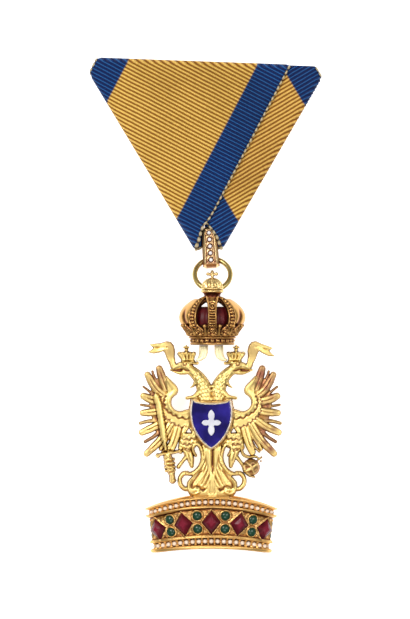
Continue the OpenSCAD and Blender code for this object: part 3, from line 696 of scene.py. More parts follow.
def draw_head(pen):
    """The neck with its small feathers in offset rows, the open beak, the brow and the eye."""
    r = pen.relief
    line = curve(pen.place((238, 367.5), (230.5, 371), (223.5, 378), (219, 386.5), (216.5, 396), (216, 404)))
    half = np.multiply((4.6, 5.2, 6.2, 7.6, 9, 10), PIXEL)
    r.tube(line, half, (1.05, 1.1, 1.2, 1.3, 1.35, 1.3), 0.12)
    where = r.room(line, 3.0)
    d, share, side = r.near(line, where)
    row = share * 12.0
    column = side / 0.8 + 0.5 * (np.floor(row) % 2)
    x, y = (column - np.floor(column)) * 2 - 1, row - np.floor(row)
    leaf = y * np.clip(1 - x * x * (0.5 + 0.9 * y), 0, 1)
    gap = (1 - smooth(0, 0.28, y)) * (1 - smooth(0.5, 0.9, np.abs(x)))
    start = smooth(0.15, 0.3, share)
    on_neck = (d < np.interp(share, np.linspace(0, 1, 6), half)) & (share > 0.15)
    # The gaps between the neck's small feathers are lowered and painted dark, as shade.
    r.height[where] += np.where(on_neck, (0.34 * leaf - 0.12) * start, 0)
    r.darken(where, np.where(on_neck, 0.55 * gap * start, 0))
    pen.tube(((225.5, 379), (228.6, 385), (232, 387.5)), (2.8, 1.8, 0.6), (0.7, 0.5, 0.25), 0.35)
    pen.tube(((222, 391), (228.5, 396.6), (235.6, 398)), (3.6, 2.2, 1.6), (0.9, 0.6, 0.4), 0.35)
    pen.ball((234.6, 366.4), 5.4, 1.2, 0.15)
    pen.tube(((236, 365.4), (243.5, 366.1), (251.8, 369.8)), (4.8, 3.5, 0.8), (1.15, 0.95, 0.5), 0.2)
    pen.tube(
        ((234, 371.2), (242, 373), (248.5, 371.4), (252.2, 369.7)), (3.2, 2.1, 1.2, 0.6), (1.0, 0.7, 0.4, 0.25), 0.15)
    # The inside of the open beak is painted dark, as shade.
    pen.plate(((233, 366), (243, 366.6), (250.4, 369.6), (251.6, 370.4), (246, 372.6), (234, 373.4)), 0.34, 0.1, 0.85)
    pen.groove(((232, 371.4), (236, 370.4), (240, 369.2), (245, 370.4), (251, 371)), 0.16, 0.5, 0.95)
    pen.ball((251.6, 370.1), 1.0, 0.3, 0.2, 0.9)
    pen.tube(
        ((225.4, 363.2), (230, 363), (236, 361.8), (244.4, 363.8)), (1.7, 1.5, 1.4, 1.0), (0.5, 0.45, 0.45, 0.3), 1.0)
    pen.groove(((224.6, 365.2), (229, 365), (233, 364.4)), 0.16, 0.4, 0.8)
    pen.groove(((240, 366), (245, 367.4), (249.6, 369)), 0.12, 0.2, 0.4)
    eye = pen.place((237.8, 364.0))[0]
    where = r.room([eye], 1.0)
    d = r.away(eye, where)
    # The eye's ring groove is painted dark, as shade.
    r.height[where] += 0.2 * bump(d, 0.58, 0.16) - 0.34 * bump(d, 0.36, 0.14) + 0.2 * bump(d, 0, 0.2)
    r.darken(where, 0.9 * bump(d, 0.37, 0.14))


def draw_head_crown(pen):
    pen.plate((
        (228.6, 361.6), (240.6, 361.2), (245.2, 352.2), (242.8, 351.4), (240.6, 352.6), (238.4, 351.2),
        (236.1, 352.4), (233.6, 351.2), (231.4, 352.6), (229.0, 351.4), (226.8, 352.0)), 0.78, 0.3)
    for foot, head, wide in (
            ((229.8, 360.6), (228.1, 353.6), 1.7), ((232.4, 360.6), (231.8, 353.4), 1.8),
            ((235, 360.4), (236, 352.6), 2.0), ((237.6, 360.4), (240.2, 353.4), 1.8),
            ((239.8, 360.6), (243.8, 353.8), 1.7)):
        pen.tube((foot, head), (0.9, 1.3, wide), (0.35, 0.4, 0.45), 0.82)
        pen.ball(head, wide * 0.8, 0.35, 1.05)
    pen.tube(((228.6, 361.2), (234.5, 361.8), (240.6, 360.9)), 1.25, 0.45, 1.1)
    pen.ball((236.1, 350), 2.1, 0.6, 0.5)
    pen.tube(((236.2, 350), (236.3, 345.9)), (0.9, 0.7, 1.1), 0.35, 0.4)
    pen.tube(((234.1, 347.4), (238.4, 347.3)), (1.1, 0.7, 1.1), 0.35, 0.42)


def draw_head_ribbon(pen, lower):
    """The ribbon that flutters from a head; lower moves its free end down."""
    r = pen.relief
    free = (
        (261.7, 343.6), (267.4, 345.6), (273.4, 348), (269.4, 350.6), (271.8, 353.6), (275.4, 356.4),
        (268.9, 356.2), (262.8, 353.6))
    outline = pen.place(
        (250.6, 369.0), (244.4, 366.8), (247.2, 361.4), (247.8, 356.4), (247.4, 351), (248.6, 345.4), (251.6, 341.8),
        (256, 341), *[(x, y + lower * (x - 259) / 14) for x, y in free],
        (259.2, 351.2), (257.6, 354), (255.9, 358.6), (253.4, 363.4), (252.2, 367.6))
    middle = curve(pen.place(
        (250.4, 367), (252, 360), (252.4, 352), (254, 346.4), (258.6, 346.4), (264, 349 + lower * 0.3),
        (271, 352.2 + lower * 0.8)))
    where = r.room(outline, 0.2)
    d, share, side = r.near(middle, where)
    roll = 0.1 * np.cos(share * 11.0) + 0.12 * np.clip(d / 0.9, 0, 1) ** 2 + 0.03 * np.sin(side * 4.0 + share * 6)
    # The tint is painted shade, darkest at the ribbon's bend and fading out towards its free end.
    shade = 0.2 + 0.22 * bump(share, 0.42, 0.16) - 0.2 * smooth(0.55, 0.8, share)
    r.join(where, r.inside(outline, where), 0.72 + roll, shade)
    pen.groove(((258.6, 352.2), (256.4, 349), (255.8, 345.6)), 0.2, 0.16, 0.5)
    pen.groove(((262, 347.4), (267, 349.2 + lower * 0.5), (272, 351.6 + lower)), 0.16, 0.12, 0.25)


def draw_leg(pen):
    """The feathered leg, its claws, and the openings and fillings beside the shield."""
    pen.tube(
        ((229, 432), (233.5, 437), (235.6, 443), (236.6, 449)), (4.5, 6.6, 7, 4.4), (0.9, 1.0, 1.0, 0.7), 0.15)
    for level, row in enumerate((
            (((228.5, 432.5), (228.8, 437)), ((233.4, 432.8), (233.8, 437.6)), ((238, 434.5), (238.4, 439.6))),
            (((230.4, 437.4), (230.8, 442.4)), ((235.4, 438.4), (235.6, 443.6)), ((240, 440), (239.6, 444.8))),
            (((228.4, 441.5), (228.8, 446)), ((232.8, 442.8), (233, 448)), ((237.6, 444.4), (237, 449.6))))):
        for root, end in row:
            pen.scale(root, end, 2.35, 1.02 - 0.14 * level)
    pen.tube(
        ((236.4, 446), (235.0, 452), (232.2, 458.4), (230.8, 466)), (4.0, 4.4, 3.8, 2.1), (0.7, 0.7, 0.65, 0.5), 0.5)
    pen.groove(((235.6, 451), (233.8, 457), (232, 463)), 0.14, 0.3, 0.4)
    pen.tube(((235.4, 455.6), (239.8, 461), (244.2, 466.8)), (2.4, 1.8, 2.1), (0.6, 0.5, 0.5), 0.4)
    for corners in (
            ((226.6, 436.4), (231, 438), (236, 438.4), (241.6, 436.6)),
            ((226.6, 441.4), (229.6, 442.6), (233.4, 443.4), (237.6, 443.4), (242, 441.6)),
            ((227.6, 446), (231.6, 447.4), (236, 448), (240.6, 446.4))):
        pen.groove(scalloped(corners, 0.42), 0.16, 0.26, 0.8)
    for x, y in ((229.2, 434), (234, 434.4), (238.8, 435.4), (231.6, 439.6), (236, 440.4)):
        pen.groove(((x, y), (x + 0.3, y + 3.0)), 0.12, 0.14, 0.5)
    pen.groove(((230.6, 449), (234, 451), (238.4, 449)), 0.16, 0.35, 0.7)
    pen.plate(((221, 396), (229.5, 396.4), (230, 401), (222, 403)), 0.8, 0.2, 0.1)
    pen.plate(((221, 433), (230.5, 433), (229.5, 440), (228, 445), (221, 447)), 0.75, 0.2, 0.1)
    pen.plate(((228, 416), (235, 416), (235, 434), (228, 436)), 0.62, 0.2, 0.15)
    pen.hole(((233.6, 428.4), (231.4, 432.4), (236.2, 432.2)))


# One half of the tail: its body, the roll along its edge, and its strands with their half widths
TAIL_BODY = (
    (212.6, 438), (205, 441), (201.8, 448), (202.8, 455), (202, 461), (199.4, 466.4), (195.4, 470.8),
    (190.8, 475.4), (187.8, 481), (187, 487), (188, 492.6), (190.8, 496.4), (212.6, 496.6))
TAIL_ROLL = (
    (203.6, 446), (204.8, 454), (203.8, 461), (200, 467.6), (194.4, 472.6), (189.6, 479.4), (188.3, 486.6),
    (190.2, 492.2), (195.4, 493.8), (199.2, 491.6))
TAIL_STRANDS = (
    (((206.4, 450), (206.2, 461), (202.2, 469.4), (196.2, 476.4), (192.4, 483.6)), 1.5),
    (((207.4, 456), (207.2, 466), (203.4, 474.4), (198, 481.4), (195.2, 486)), 1.5),
    (((209, 462), (208.8, 471), (205.4, 479), (201.6, 486.2)), 1.7),
    (((210.6, 468), (210.2, 476), (207.6, 483), (205, 487.4)), 1.6))


def draw_tail(pen):
    pen.plate(TAIL_BODY, 0.95, 0.4)
    pen.tube(
        ((208.4, 438), (208.5, 452), (208.9, 464), (209, 474)), (4.2, 3.9, 3.3, 2.6), (0.5, 0.5, 0.45, 0.3), 0.72)
    pen.tube(TAIL_ROLL, (1.5, 1.6, 1.7, 1.7, 1.7, 1.7, 1.7, 1.7, 1.6, 1.4), 0.4, 0.78)
    for strand, half in TAIL_STRANDS:
        pen.tube(strand, half, (0.1, 0.26, 0.28, 0.26, 0.2), 0.84)
        pen.groove([(x - half * 0.9, y + 0.4) for x, y in strand], 0.14, 0.16, 0.35)
    pen.groove(((203.2, 469), (197, 476.6), (191.8, 485), (193.4, 489.6)), 0.2, 0.4, 0.6)
    pen.ball((196.6, 490), 3.0, 0.6, 0.55)
    pen.groove(((192.6, 488.4), (195.4, 486.2), (199.6, 486.8), (200.8, 490.4)), 0.16, 0.35, 0.6)
    pen.groove(((201, 488.6), (203.4, 490.2), (205.6, 488.2)), 0.2, 0.4, 0.8)


def draw_scrolls(pen):
    """The hook and the ring beside one half of the tail."""
    pen.tube((
        (195.5, 455.2), (192.9, 450.6), (193.0, 446.2), (196.4, 443.9), (200.0, 446.4), (201.9, 452),
        (202.5, 458.6), (200.2, 466), (195.6, 471.4), (190.4, 474), (187, 473.2)),
        (1.6, 1.8, 2.0, 2.1, 2.1, 2.0, 2.0, 2.0, 2.1, 2.2, 2.0), 0.4, 0.8)
    pen.ball((195.6, 455.4), 1.6, 0.4, 0.7)
    pen.ball((187.4, 472.6), 1.9, 0.4, 0.6)
    pen.tube(
        ((187.5, 473.4), (183.4, 473.5), (180.0, 478.4), (180.4, 484.2), (184.2, 488.4), (188.4, 489)), 2.4, 0.5, 0.45)
    pen.hole(((186.5, 475.6), (192.0, 476.1), (188.4, 480.2), (185.0, 484.7), (182.2, 481.5), (182.2, 478.2)))


def draw_sword(pen):
    r = pen.relief
    blade = pen.place(
        (153.4, 397.5), (155.3, 392.4), (158.8, 395.6), (161.4, 404), (164.8, 425), (168.4, 451.5), (163.9, 451.5),
        (159.6, 428), (155.7, 404))
    where = r.room(blade, 0.2)
    d, _, _ = r.near(curve(pen.place((155.6, 393), (158.7, 404), (162.3, 427), (166.2, 451.5))), where)
    r.join(where, r.inside(blade, where), 1.45 + 0.05 * (1 - np.clip(d / 0.6, 0, 1)))
    for shift in (-1.5, 1.5):
        line = (155.6 + shift * 0.6, 397), (158.7 + shift, 404), (162.3 + shift, 427), (166.2 + shift, 450)
        pen.groove(line, 0.1, 0.1, 0.1)
    pen.tube(((167.6, 456), (169.4, 464), (171.4, 472)), (4.4, 5.0, 4.0), 0.6, 0.7, 0.35)
    pen.tube(((171.6, 471), (172.6, 480.6)), (3.0, 3.3), 0.75, 0.75, 0.22, power=4)
    pen.tube(((170.6, 481), (175.0, 480.4)), 1.6, 0.6, 0.85, 0.25)
    pen.tube(
        ((158.6, 455.2), (163, 453.6), (169, 453), (176, 451.8), (180.2, 450.6)), (1.6, 2.0, 2.2, 1.8, 1.8), 0.5, 1.15)
    for place, radius, depth, lift in (
            ((157.9, 455.5), 2.5, 0.55, 0.95), ((180.6, 451.6), 2.3, 0.5, 1.0), ((168.2, 455.4), 3.0, 0.5, 1.3)):
        pen.ball(place, radius, depth, lift)
    for row in (
            ((165.2, 460.4), (169.4, 459.4), (173.4, 459.2)), ((165.2, 463.9), (169.6, 463.2), (173.8, 463.2)),
            ((165.6, 467.4), (169.8, 467), (174.2, 466.8)), ((166.2, 470.6), (170, 470.4), (174.2, 469.8))):
        pen.tube(row, (1.7, 1.9, 1.7), (0.5, 0.6, 0.5), 1.2, 0.15)
        pen.groove([(x, y + 1.75) for x, y in row], 0.14, 0.3, 0.9)


def draw_orb(pen):
    """The orb, and the claws and tendril that hold it."""
    pen.ball((251.2, 467.2), 8.7, 1.75, 0.0, 0.72)
    for k in range(3):
        line = (244.4 + 2.4 * k, 467 + 2.6 * k), (249.4 + 1.6 * k, 466.4 + 2.2 * k), (254.6 + 1.2 * k, 462.4 + 2.6 * k)
        pen.groove(line, 0.2, 0.34, 0.9)
    pen.tube(((244.2, 471.6), (250.6, 468.8), (257.6, 463.2)), 1.2, (0.2, 0.3, 0.2), 1.4, 0.3)
    pen.tube(((246.6, 462.4), (251.4, 466.4), (254.2, 474)), 1.0, (0.2, 0.3, 0.2), 1.38, 0.4)
    claw = (240.8, 447.5), (243.4, 454.4), (248.8, 457), (255, 456.4), (259.4, 458.8)
    pen.tube(claw, (1.6, 1.7, 1.8, 1.5, 0.8), 0.5, 0.9)
    pen.tube(((243.4, 466), (245.2, 471.6), (249.8, 475.6), (254.8, 477)), (2.1, 1.8, 1.5, 0.8), 0.5, 0.75, 0.3)
    pen.tube(((256.4, 461.2), (260.8, 457.8)), (0.9, 0.9), 0.4, 0.4, 0.6)
    pen.ball((261.3, 457.4), 1.15, 0.35, 0.35, 0.8)
    pen.ball((260.9, 461.1), 1.0, 0.35, 0.3, 0.8)


# The shield's outline in millimetres: two arcs from its widest height to its tip, under a hollow top edge
SHIELD_HALF = 5.0
SHIELD_WIDEST = -24.6
SHIELD_TIP = -33.3
SHIELD_TOP = -21.6
HOLLOW_LOW = -22.35
HOLLOW_RADIUS = 14.7


def shield_line(grow, count=60):
    """The shield's outline, larger by grow all round."""
    side_radius = (SHIELD_HALF ** 2 + (SHIELD_WIDEST - SHIELD_TIP) ** 2) / (2 * SHIELD_HALF)
    radius = side_radius + grow
    low = SHIELD_WIDEST - math.sqrt(radius * radius - (side_radius - SHIELD_HALF) ** 2)
    top = SHIELD_TOP + grow * 0.6
    ws = np.linspace(low, top, count)
    us = np.sqrt(np.maximum(radius * radius - (ws - SHIELD_WIDEST) ** 2, 0)) - (side_radius - SHIELD_HALF)
    ends = np.linspace(us[-1], -us[-1], 25)[1:-1]
    hollow = HOLLOW_LOW + HOLLOW_RADIUS - np.sqrt(np.maximum((HOLLOW_RADIUS - grow) ** 2 - ends ** 2, 0))
    hollow = np.minimum(hollow, top)
    return np.concatenate([np.stack([us, ws], 1), np.stack([ends, hollow], 1), np.stack([-us, ws], 1)[::-1]])


def sink_seat(r):
    """A level seat under the shield, with a hollow line and painted shade round its rim."""
    seat = r.room(shield_line(0.25), 0.1)
    under = r.inside(shield_line(0.22), seat) > 0
    r.height[seat] = np.where(under, np.minimum(r.height[seat], 1.32), r.height[seat])
    r.edge[seat] = np.where(under, np.maximum(r.edge[seat], 0.4), r.edge[seat])
    beside = r.room(shield_line(0.8), 0.1)
    away = -r.inside(shield_line(0.1), beside)
    r.height[beside] = np.minimum(r.height[beside], 1.7 + 1.6 * np.clip(away, 0, None))
    r.height[beside] -= 0.14 * bump(away, 0.15, 0.14)
    r.darken(beside, 0.45 * bump(away, 0.12, 0.14))


def on_badge(face=1):
    """A place map for the badge's front (1) or back (-1) face, from millimetres to metres in the frame."""
    return lambda u, w, h: np.stack([u + BADGE_X, w, MID_Z + face * h], -1) * MM


def slab(low, high, bevel, cut):
    """A flat plate with cut corners and bevelled edges, as corner points (right, up, out) and faces."""
    rings = []
    for w, inset in ((low[1], bevel), (low[1] + bevel, 0), (high[1] - bevel, 0), (high[1], bevel)):
        u0, u1, out0, out1 = low[0] + inset, high[0] - inset, low[2] + inset, high[2] - inset
        rings.append([(u0 + cut, w, out0), (u1 - cut, w, out0), (u1, w, out0 + cut), (u1, w, out1 - cut),
                      (u1 - cut, w, out1), (u0 + cut, w, out1), (u0, w, out1 - cut), (u0, w, out0 + cut)])
    faces = [(k + i, k + (i + 1) % 8, k + 8 + (i + 1) % 8, k + 8 + i) for k in (0, 8, 16) for i in range(8)]
    return np.array(rings).reshape(-1, 3), faces + [tuple(range(7, -1, -1)), tuple(range(24, 32))]


def joined(parts):
    """Several closed shells made into one."""
    faces, count = [], 0
    for verts, sides, _ in parts:
        faces += [tuple(int(i) + count for i in side) for side in sides]
        count += len(verts)
    attributes = {key: np.concatenate([part[2][key] for part in parts]) for key in ("cavity", "tint")}
    return np.concatenate([part[0] for part in parts]), faces, attributes


def build_eagle():
    r = Relief((-17.6, -45.0), (17.6, -7.9), detail(0.22, 0.13))
    body = points_at((211.3, 399), (211.3, 415), (211.3, 432), (211.3, 447))
    r.tube(body, (3.4, 4.6, 4.0, 2.2), (1.3, 1.5, 1.5, 1.2))
    for side, wing_side, tail_side, warm, lower in (
            (points_at, points_at, to_tail_right, 2.0, 0.0), (to_left, to_wide_left, points_at, 1.0, -3.6)):
        draw_wing(Pen(r, wing_side), warm)
        draw_head_ribbon(Pen(r, side), lower)
        draw_head(Pen(r, side))
        draw_head_crown(Pen(r, side))
        draw_leg(Pen(r, side))
        draw_tail(Pen(r, tail_side))
        draw_scrolls(Pen(r, tail_side))
    pen = Pen(r, points_at)
    tail_middle = (212.4, 466), (212.4, 476), (212.2, 486), (212.2, 497)
    pen.tube(tail_middle, (1.6, 3.2, 4.6, 4.8), (0.4, 0.5, 0.55, 0.5), 0.72, 0.05)
    for x in (209.8, 212.2, 214.6):
        pen.groove(((x, 480), (x + (x - 212) * 0.2, 495)), 0.13, 0.16, 0.2)
    pen.groove(((212.6, 444), (212.8, 452), (212.8, 464), (212.6, 475)), 0.2, 0.5, 0.7)
    draw_sword(pen)
    draw_orb(pen)
    r.plate(np.array([[-4.3, -44.9], [4.3, -44.9], [4.3, -43.4], [-4.3, -43.4]]), 0.85, 0.1, 0.3)
    sink_seat(r)
    corners, sides = slab((-4.9, -45.3, -4.1), (4.9, -44.4, 4.1), 0.15, 1.2)
    even = np.full(len(corners), 0.3)
    foot = on_badge()(*corners.T), sides, {"cavity": even, "tint": even}
    piece("eagle_cast", joined([relief_shell(r, on_badge()), foot]), GOLD, ["eagle"])


build_eagle()


# RIBBON: one strip folded round three lines into a triangle; s is measured along it, t across and n out of its face

STRIP_THICK = 0.86
STRIP_START = np.array([17.7, 50.7])
STRIP_HEIGHT = 4.4
STRIP_ANGLE = math.radians(242.4)
STRIP_ALONG = np.array([math.cos(STRIP_ANGLE), math.sin(STRIP_ANGLE)])
STRIP_ACROSS = np.array([math.sin(STRIP_ANGLE), -math.cos(STRIP_ANGLE)])
# The strip leaves its left fold a little turned, so that its second face lies as in the photograph
BACK_TURN = math.radians(-2.5)
BACK_PIVOT = np.array([-1.75, 12.6])


class Fold:
    """A fold of the strip along a line: roll is its outer radius, radius and centre are those of the strip's
    middle, and turn is 1 where the fold goes down and -1 where it goes up."""

    def __init__(self, line, outward, roll, radius, centre, turn):
        line = np.array(line)
        step = line[1] - line[0]
        normal = np.array([-step[1], step[0]]) / np.hypot(*step)
        self.out = -normal if normal @ np.array(outward) < 0 else normal
        self.axis = line[0] - self.out * roll
        self.radius, self.centre, self.turn = radius, centre, turn

    def beyond(self, places):
        """How far the places lie beyond the fold's axis."""
        return (places - self.axis) @ self.out

    def bend(self, places, z, n, where=True):
        """Wraps the places beyond the axis round it; the third result is the share of the fold that is passed."""
        d = self.beyond(places)
        past = (d > 0) & where
        angle = np.minimum(np.maximum(d, 0) / self.radius, math.pi)
        rest = np.maximum(d - math.pi * self.radius, 0)
        shift = -np.maximum(d, 0) + (self.radius + n) * np.sin(angle) - rest
        moved = places + self.out * np.where(past, shift, 0)[..., None]
        height = np.where(past, self.centre + self.turn * (self.radius + n) * np.cos(angle), z)
        return moved, height, np.where(past, angle / math.pi, 0)


TOP_FOLD = Fold([[-24.3, 57.2], [19.95, 55.6]], [0, 1], 1.0, 0.55, 3.85, 1)
LEFT_FOLD = Fold([[-26.1, 51.5], [-1.75, 12.6]], [-1, -0.6], 1.55, 1.1, 3.3, 1)
RIGHT_FOLD = Fold([[26.1, 49.6], [4.45, 12.4]], [1, -0.6], 1.0, 0.55, 2.75, -1)


def flat_place(s, t):
    """A point of the strip before it is folded, in the plane."""
    return STRIP_START + s[..., None] * STRIP_ALONG + t[..., None] * STRIP_ACROSS


def fold_strip(s, t, n):
    """A point of the strip in its place in the folded ribbon."""
    places, z, _ = TOP_FOLD.bend(flat_place(s, t), STRIP_HEIGHT + n, n)
    places, z, on_back = LEFT_FOLD.bend(places, z, n)
    turned = BACK_TURN * on_back
    x, y = np.moveaxis(places - BACK_PIVOT, -1, 0)
    leant = [x * np.cos(turned) - y * np.sin(turned), x * np.sin(turned) + y * np.cos(turned)]
    places, z, _ = RIGHT_FOLD.bend(BACK_PIVOT + np.stack(leant, -1), z, n, on_back > 0.999)
    x, y = places[..., 0], places[..., 1]
    # The upper layers bulge over the bail and are a little wavy
    upper = smooth(2.3, 3.2, z)
    z = z + upper * 1.02 * np.exp(-((x - 1.9) ** 2 + (y - 15.6) ** 2) / 11.0)
    z = z + upper * 0.07 * np.sin(x * 0.33 + 1.3) * np.sin(y * 0.27 + x * 0.1)
    return np.stack([x, y, z], -1)


def strip_ends():
    """Straight lines, over the share across, for where the strip starts inside the top fold and ends under it."""
    across = np.linspace(0, STRIP_WIDE, 9)
    s = np.linspace(-14, 190, 4000)
    first, last = [], []
    for place in across:
        t = np.full(s.shape, place)
        first.append(s[np.argmax(TOP_FOLD.beyond(flat_place(s, t)) < TOP_FOLD.radius * 2.7)])
        folded = fold_strip(s, t, np.zeros(s.shape))
        under = (s > 70) & (TOP_FOLD.beyond(folded[:, :2]) > 0.75)
        last.append(s[np.argmax(under)] if under.any() else s[-1])
    return np.polyfit(across / STRIP_WIDE, first, 1), np.polyfit(across / STRIP_WIDE, last, 1)


# How far the selvedge lies beyond the strip's straight edge where it rounds the bail: place along it and reach
NOTCH = curve([
    (32, 0), (34, -0.08), (35.2, -0.2), (36.6, -0.6), (38.4, -0.4), (40.3, 0.05), (42.3, 0.32), (43.6, 0.0),
    (45, -1.0), (46.5, -1.25), (48, -0.9), (49.2, -0.25), (50.2, -0.28), (51.3, -0.5), (52.9, -0.72), (54.8, -0.55),
    (56.6, -0.2), (59, 0), (61, 0)])
PICOT_PITCH = 1.36
PICOT_SIDES = 8


def notch_reach(s):
    return np.interp(s, NOTCH[:, 0], NOTCH[:, 1])


def build_ribbon():
    starts, ends = strip_ends()
    rows, columns = detail((260, 32), (520, 56))
    share = np.linspace(0, 1, columns + 1)
    v = np.linspace(0, 1, rows + 1)[:, None]
    first, last = np.polyval(starts, share), np.polyval(ends, share)
    s = first * (1 - v) + last * v
    t = share * STRIP_WIDE - notch_reach(s) * (1 - share)
    half = np.full(s.shape, STRIP_THICK / 2)
    half[:, [0, -1]] *= 0.35
    verts = np.concatenate([fold_strip(s, t, n).reshape(-1, 3) for n in (half, -half)])
    count = s.size
    index = np.arange(count).reshape(s.shape)
    quads = np.stack([index[:-1, :-1], index[:-1, 1:], index[1:, 1:], index[1:, :-1]], -1).reshape(-1, 4)
    # The slit in the lowest layer at the top of the bail
    x, y, z = verts[quads].mean(1).T
    quads = quads[~((np.abs(x - 1.5) < 1.6) & (y > 17.0) & (y < 18.35) & (z < 2.6))]
    rim = np.concatenate([index[0, :], index[1:, -1], index[-1, -2::-1], index[-2:0:-1, 0]])
    after = np.roll(rim, -1)
    walls = np.stack([rim, rim + count, after + count, after], 1)
    faces = np.concatenate([quads, quads[:, ::-1] + count, walls])
    cloth = piece("ribbon_cloth", (verts * MM, faces, {}), CLOTH, ["ribbon"])
    layer = cloth.data.uv_layers.new(name="strip")
    corner = np.zeros(len(cloth.data.loops), np.int32)
    cloth.data.loops.foreach_get("vertex_index", corner)
    uvs = np.tile(np.stack([t.ravel(), s.ravel()], 1) * CLOTH_UNIT, (2, 1))
    layer.data.foreach_set("uv", uvs[corner].astype(np.float32).ravel())
    edges = [
        build_picots("selvedge_inner", 0.0, first[0], last[0], -1),
        build_picots("selvedge_outer", STRIP_WIDE, first[-1], last[-1], 1)]


def build_picots(name, t_edge, start, end, outward):
    """The thick looped thread along one selvedge: a cord that swells at each loop, and more beside the bail."""
    rows = int((end - start) / PICOT_PITCH * detail(7, 12))
    s = np.linspace(start + 0.2, end - 0.2, rows)
    notch = notch_reach(s) if outward < 0 else np.zeros(rows)
    loop = np.abs(np.sin(s * math.pi / PICOT_PITCH))
    beside_bail = np.clip(bump(s, 40.8, 4.2) + bump(s, 49.5, 4.0), 0, 1) * (outward < 0)
    radius = (0.12 + 0.12 * loop ** 0.6 + 0.17 * beside_bail * loop ** 0.35)[:, None]
    around = full_turn(PICOT_SIDES)
    t = t_edge + outward * (notch + 0.02)
    across = t[:, None] + outward * (radius * np.cos(around) * 1.05 + 0.08 * loop[:, None])
    along = np.repeat(s[:, None], PICOT_SIDES, 1)
    verts = fold_strip(along, across, radius * np.sin(around) * 1.15).reshape(-1, 3) * MM
    index, beside = ring_grid(rows, PICOT_SIDES)
    quads = np.stack([index[:-1], beside[:-1], beside[1:], index[1:]], -1).reshape(-1, 4)[:, ::-outward]
    faces = [*quads, index[0][::-outward], index[-1][::outward]]
    # The cavity attribute is painted shade between the loops.
    return piece(name, (verts, faces, {"cavity": np.repeat(1 - loop ** 0.7, PICOT_SIDES)}), THREAD, [])


build_ribbon()


# TURNED SHAPES


def turned(place, angles, line, relief=None, tint=0.0, closed=True, reach=3, scale=0.24):
    """A shell round an axis. line is its section as (out, up), from the top of its outer face down.

    place maps (angle, out, up) to metres. relief raises the outer face's rows; what lies scale below its surroundings,
    over reach cells, gets the darkest painted shade through the cavity attribute. A closed line runs back up inside;
    an open one ends in two caps."""
    line = np.asarray(line, float)
    angle_grid, up = np.meshgrid(angles, line[:, 1], indexing="ij")
    out = np.tile(line[:, 0], (len(angles), 1))
    cavity = np.zeros(out.shape)
    if relief is not None:
        rows = relief.shape[1]
        out[:, :rows] += relief
        cavity[:, :rows] = np.clip(blurred_round(out[:, :rows], reach) / scale, -1, 1)
    verts = place(angle_grid, out, up).reshape(-1, 3)
    index = np.arange(len(verts)).reshape(out.shape)
    right = np.roll(index, -1, 0)
    caps = []
    if closed:
        down, both = np.roll(index, -1, 1), np.roll(right, -1, 1)
    else:
        index, right, down, both = index[:, :-1], right[:, :-1], index[:, 1:], right[:, 1:]
        caps = [index[:, 0], down[::-1, -1]]
    faces = [*np.stack([index, down, both, right], -1).reshape(-1, 4), *caps]
    return verts, faces, {"cavity": cavity.ravel(), "tint": np.full(out.size, tint)}


def skin(shape, ends=False):
    """Faces of a grid whose columns run round; its rows run round too, unless it has ends, which are then capped."""
    index = np.arange(shape[0] * shape[1]).reshape(shape)
    below = np.roll(index, -1, 0)
    quads = np.stack([index, below, np.roll(below, -1, 1), np.roll(index, -1, 1)], -1)
    if ends:
        return [*quads[:-1].reshape(-1, 4), index[0], index[-1, ::-1]]
    return quads.reshape(-1, 4)


def with_under(field, value):
    """Numbers for the points of a face, and one value for as many points under it."""
    return np.concatenate([field, np.full(field.shape, value)], 1).ravel()


def round_stone(centre, across, up, out, rings, sides, cavity=0.0):
    """A round stone on a face: rings are (radius, height) from its foot to its top, and its axes unit vectors."""
    angles = full_turn(sides)[:, None]
    level = np.cos(angles) * across + np.sin(angles) * up
    verts = np.concatenate([centre + radius * level + height * out for radius, height in rings])
    index, beside = ring_grid(len(rings), sides)
    quads = np.stack([index[:-1], beside[:-1], beside[1:], index[1:]], -1).reshape(-1, 4)
    height = np.repeat([h for _, h in rings], sides)
    # The tint rises towards the stone's top, where the material paints its highlight.
    attributes = {"cavity": np.full(len(verts), cavity), "tint": height / height.max()}
    return verts * MM, [*quads, index[0][::-1], index[-1]], attributes


def dome_rings(radius, height, foot, steps=6):
    """Rings of a round bead or cabochon that stands on a short foot."""
    turn = np.linspace(0, math.pi / 2 * 0.97, steps)
    return [(radius * 0.86, -foot)] + [(radius * math.cos(t), height * math.sin(t)) for t in turn]


# BAND CROWN: an oval hoop. A height on it is the one at its front; towards its sides a row falls by its fall

BAND_WIDE, BAND_DEEP = 14.0, 5.55
BAND_TOP, BAND_LOW = -43.85, -55.75
# Its section from the top edge down: height, and how far it stands out
BAND_SHAPE = (
    (-43.85, 0.95), (-43.93, 1.2), (-44.1, 1.27), (-44.24, 1.15), (-44.3, 0.2), (-44.42, -0.18), (-45.6, -0.26),
    (-45.78, 0.3), (-45.86, 0.88), (-46.0, 1.02), (-46.2, 1.0), (-46.36, 0.86), (-46.44, 0.35), (-46.6, 0.16),
    (-48.6, -0.02), (-52.2, -0.46), (-52.46, -0.42), (-52.56, 0.02), (-52.68, 0.14), (-52.8, 0.1), (-52.86, -0.06),
    (-52.94, 0.1), (-53.08, 0.15), (-53.2, 0.02), (-53.28, -0.9), (-53.42, -1.2), (-54.7, -1.3), (-54.86, -0.75),
    (-54.94, -0.16), (-55.1, -0.04), (-55.4, -0.08), (-55.66, -0.16), (-55.75, -0.4))
# Its inner face from the low edge up: how far it stands out, and height
BAND_INNER = (
    (-1.9, -55.75), (-2.1, -55.6), (-1.75, -52.0), (-1.3, -47.5), (-0.97, -44.1), (-0.9, -43.85), (-0.2, -43.78))
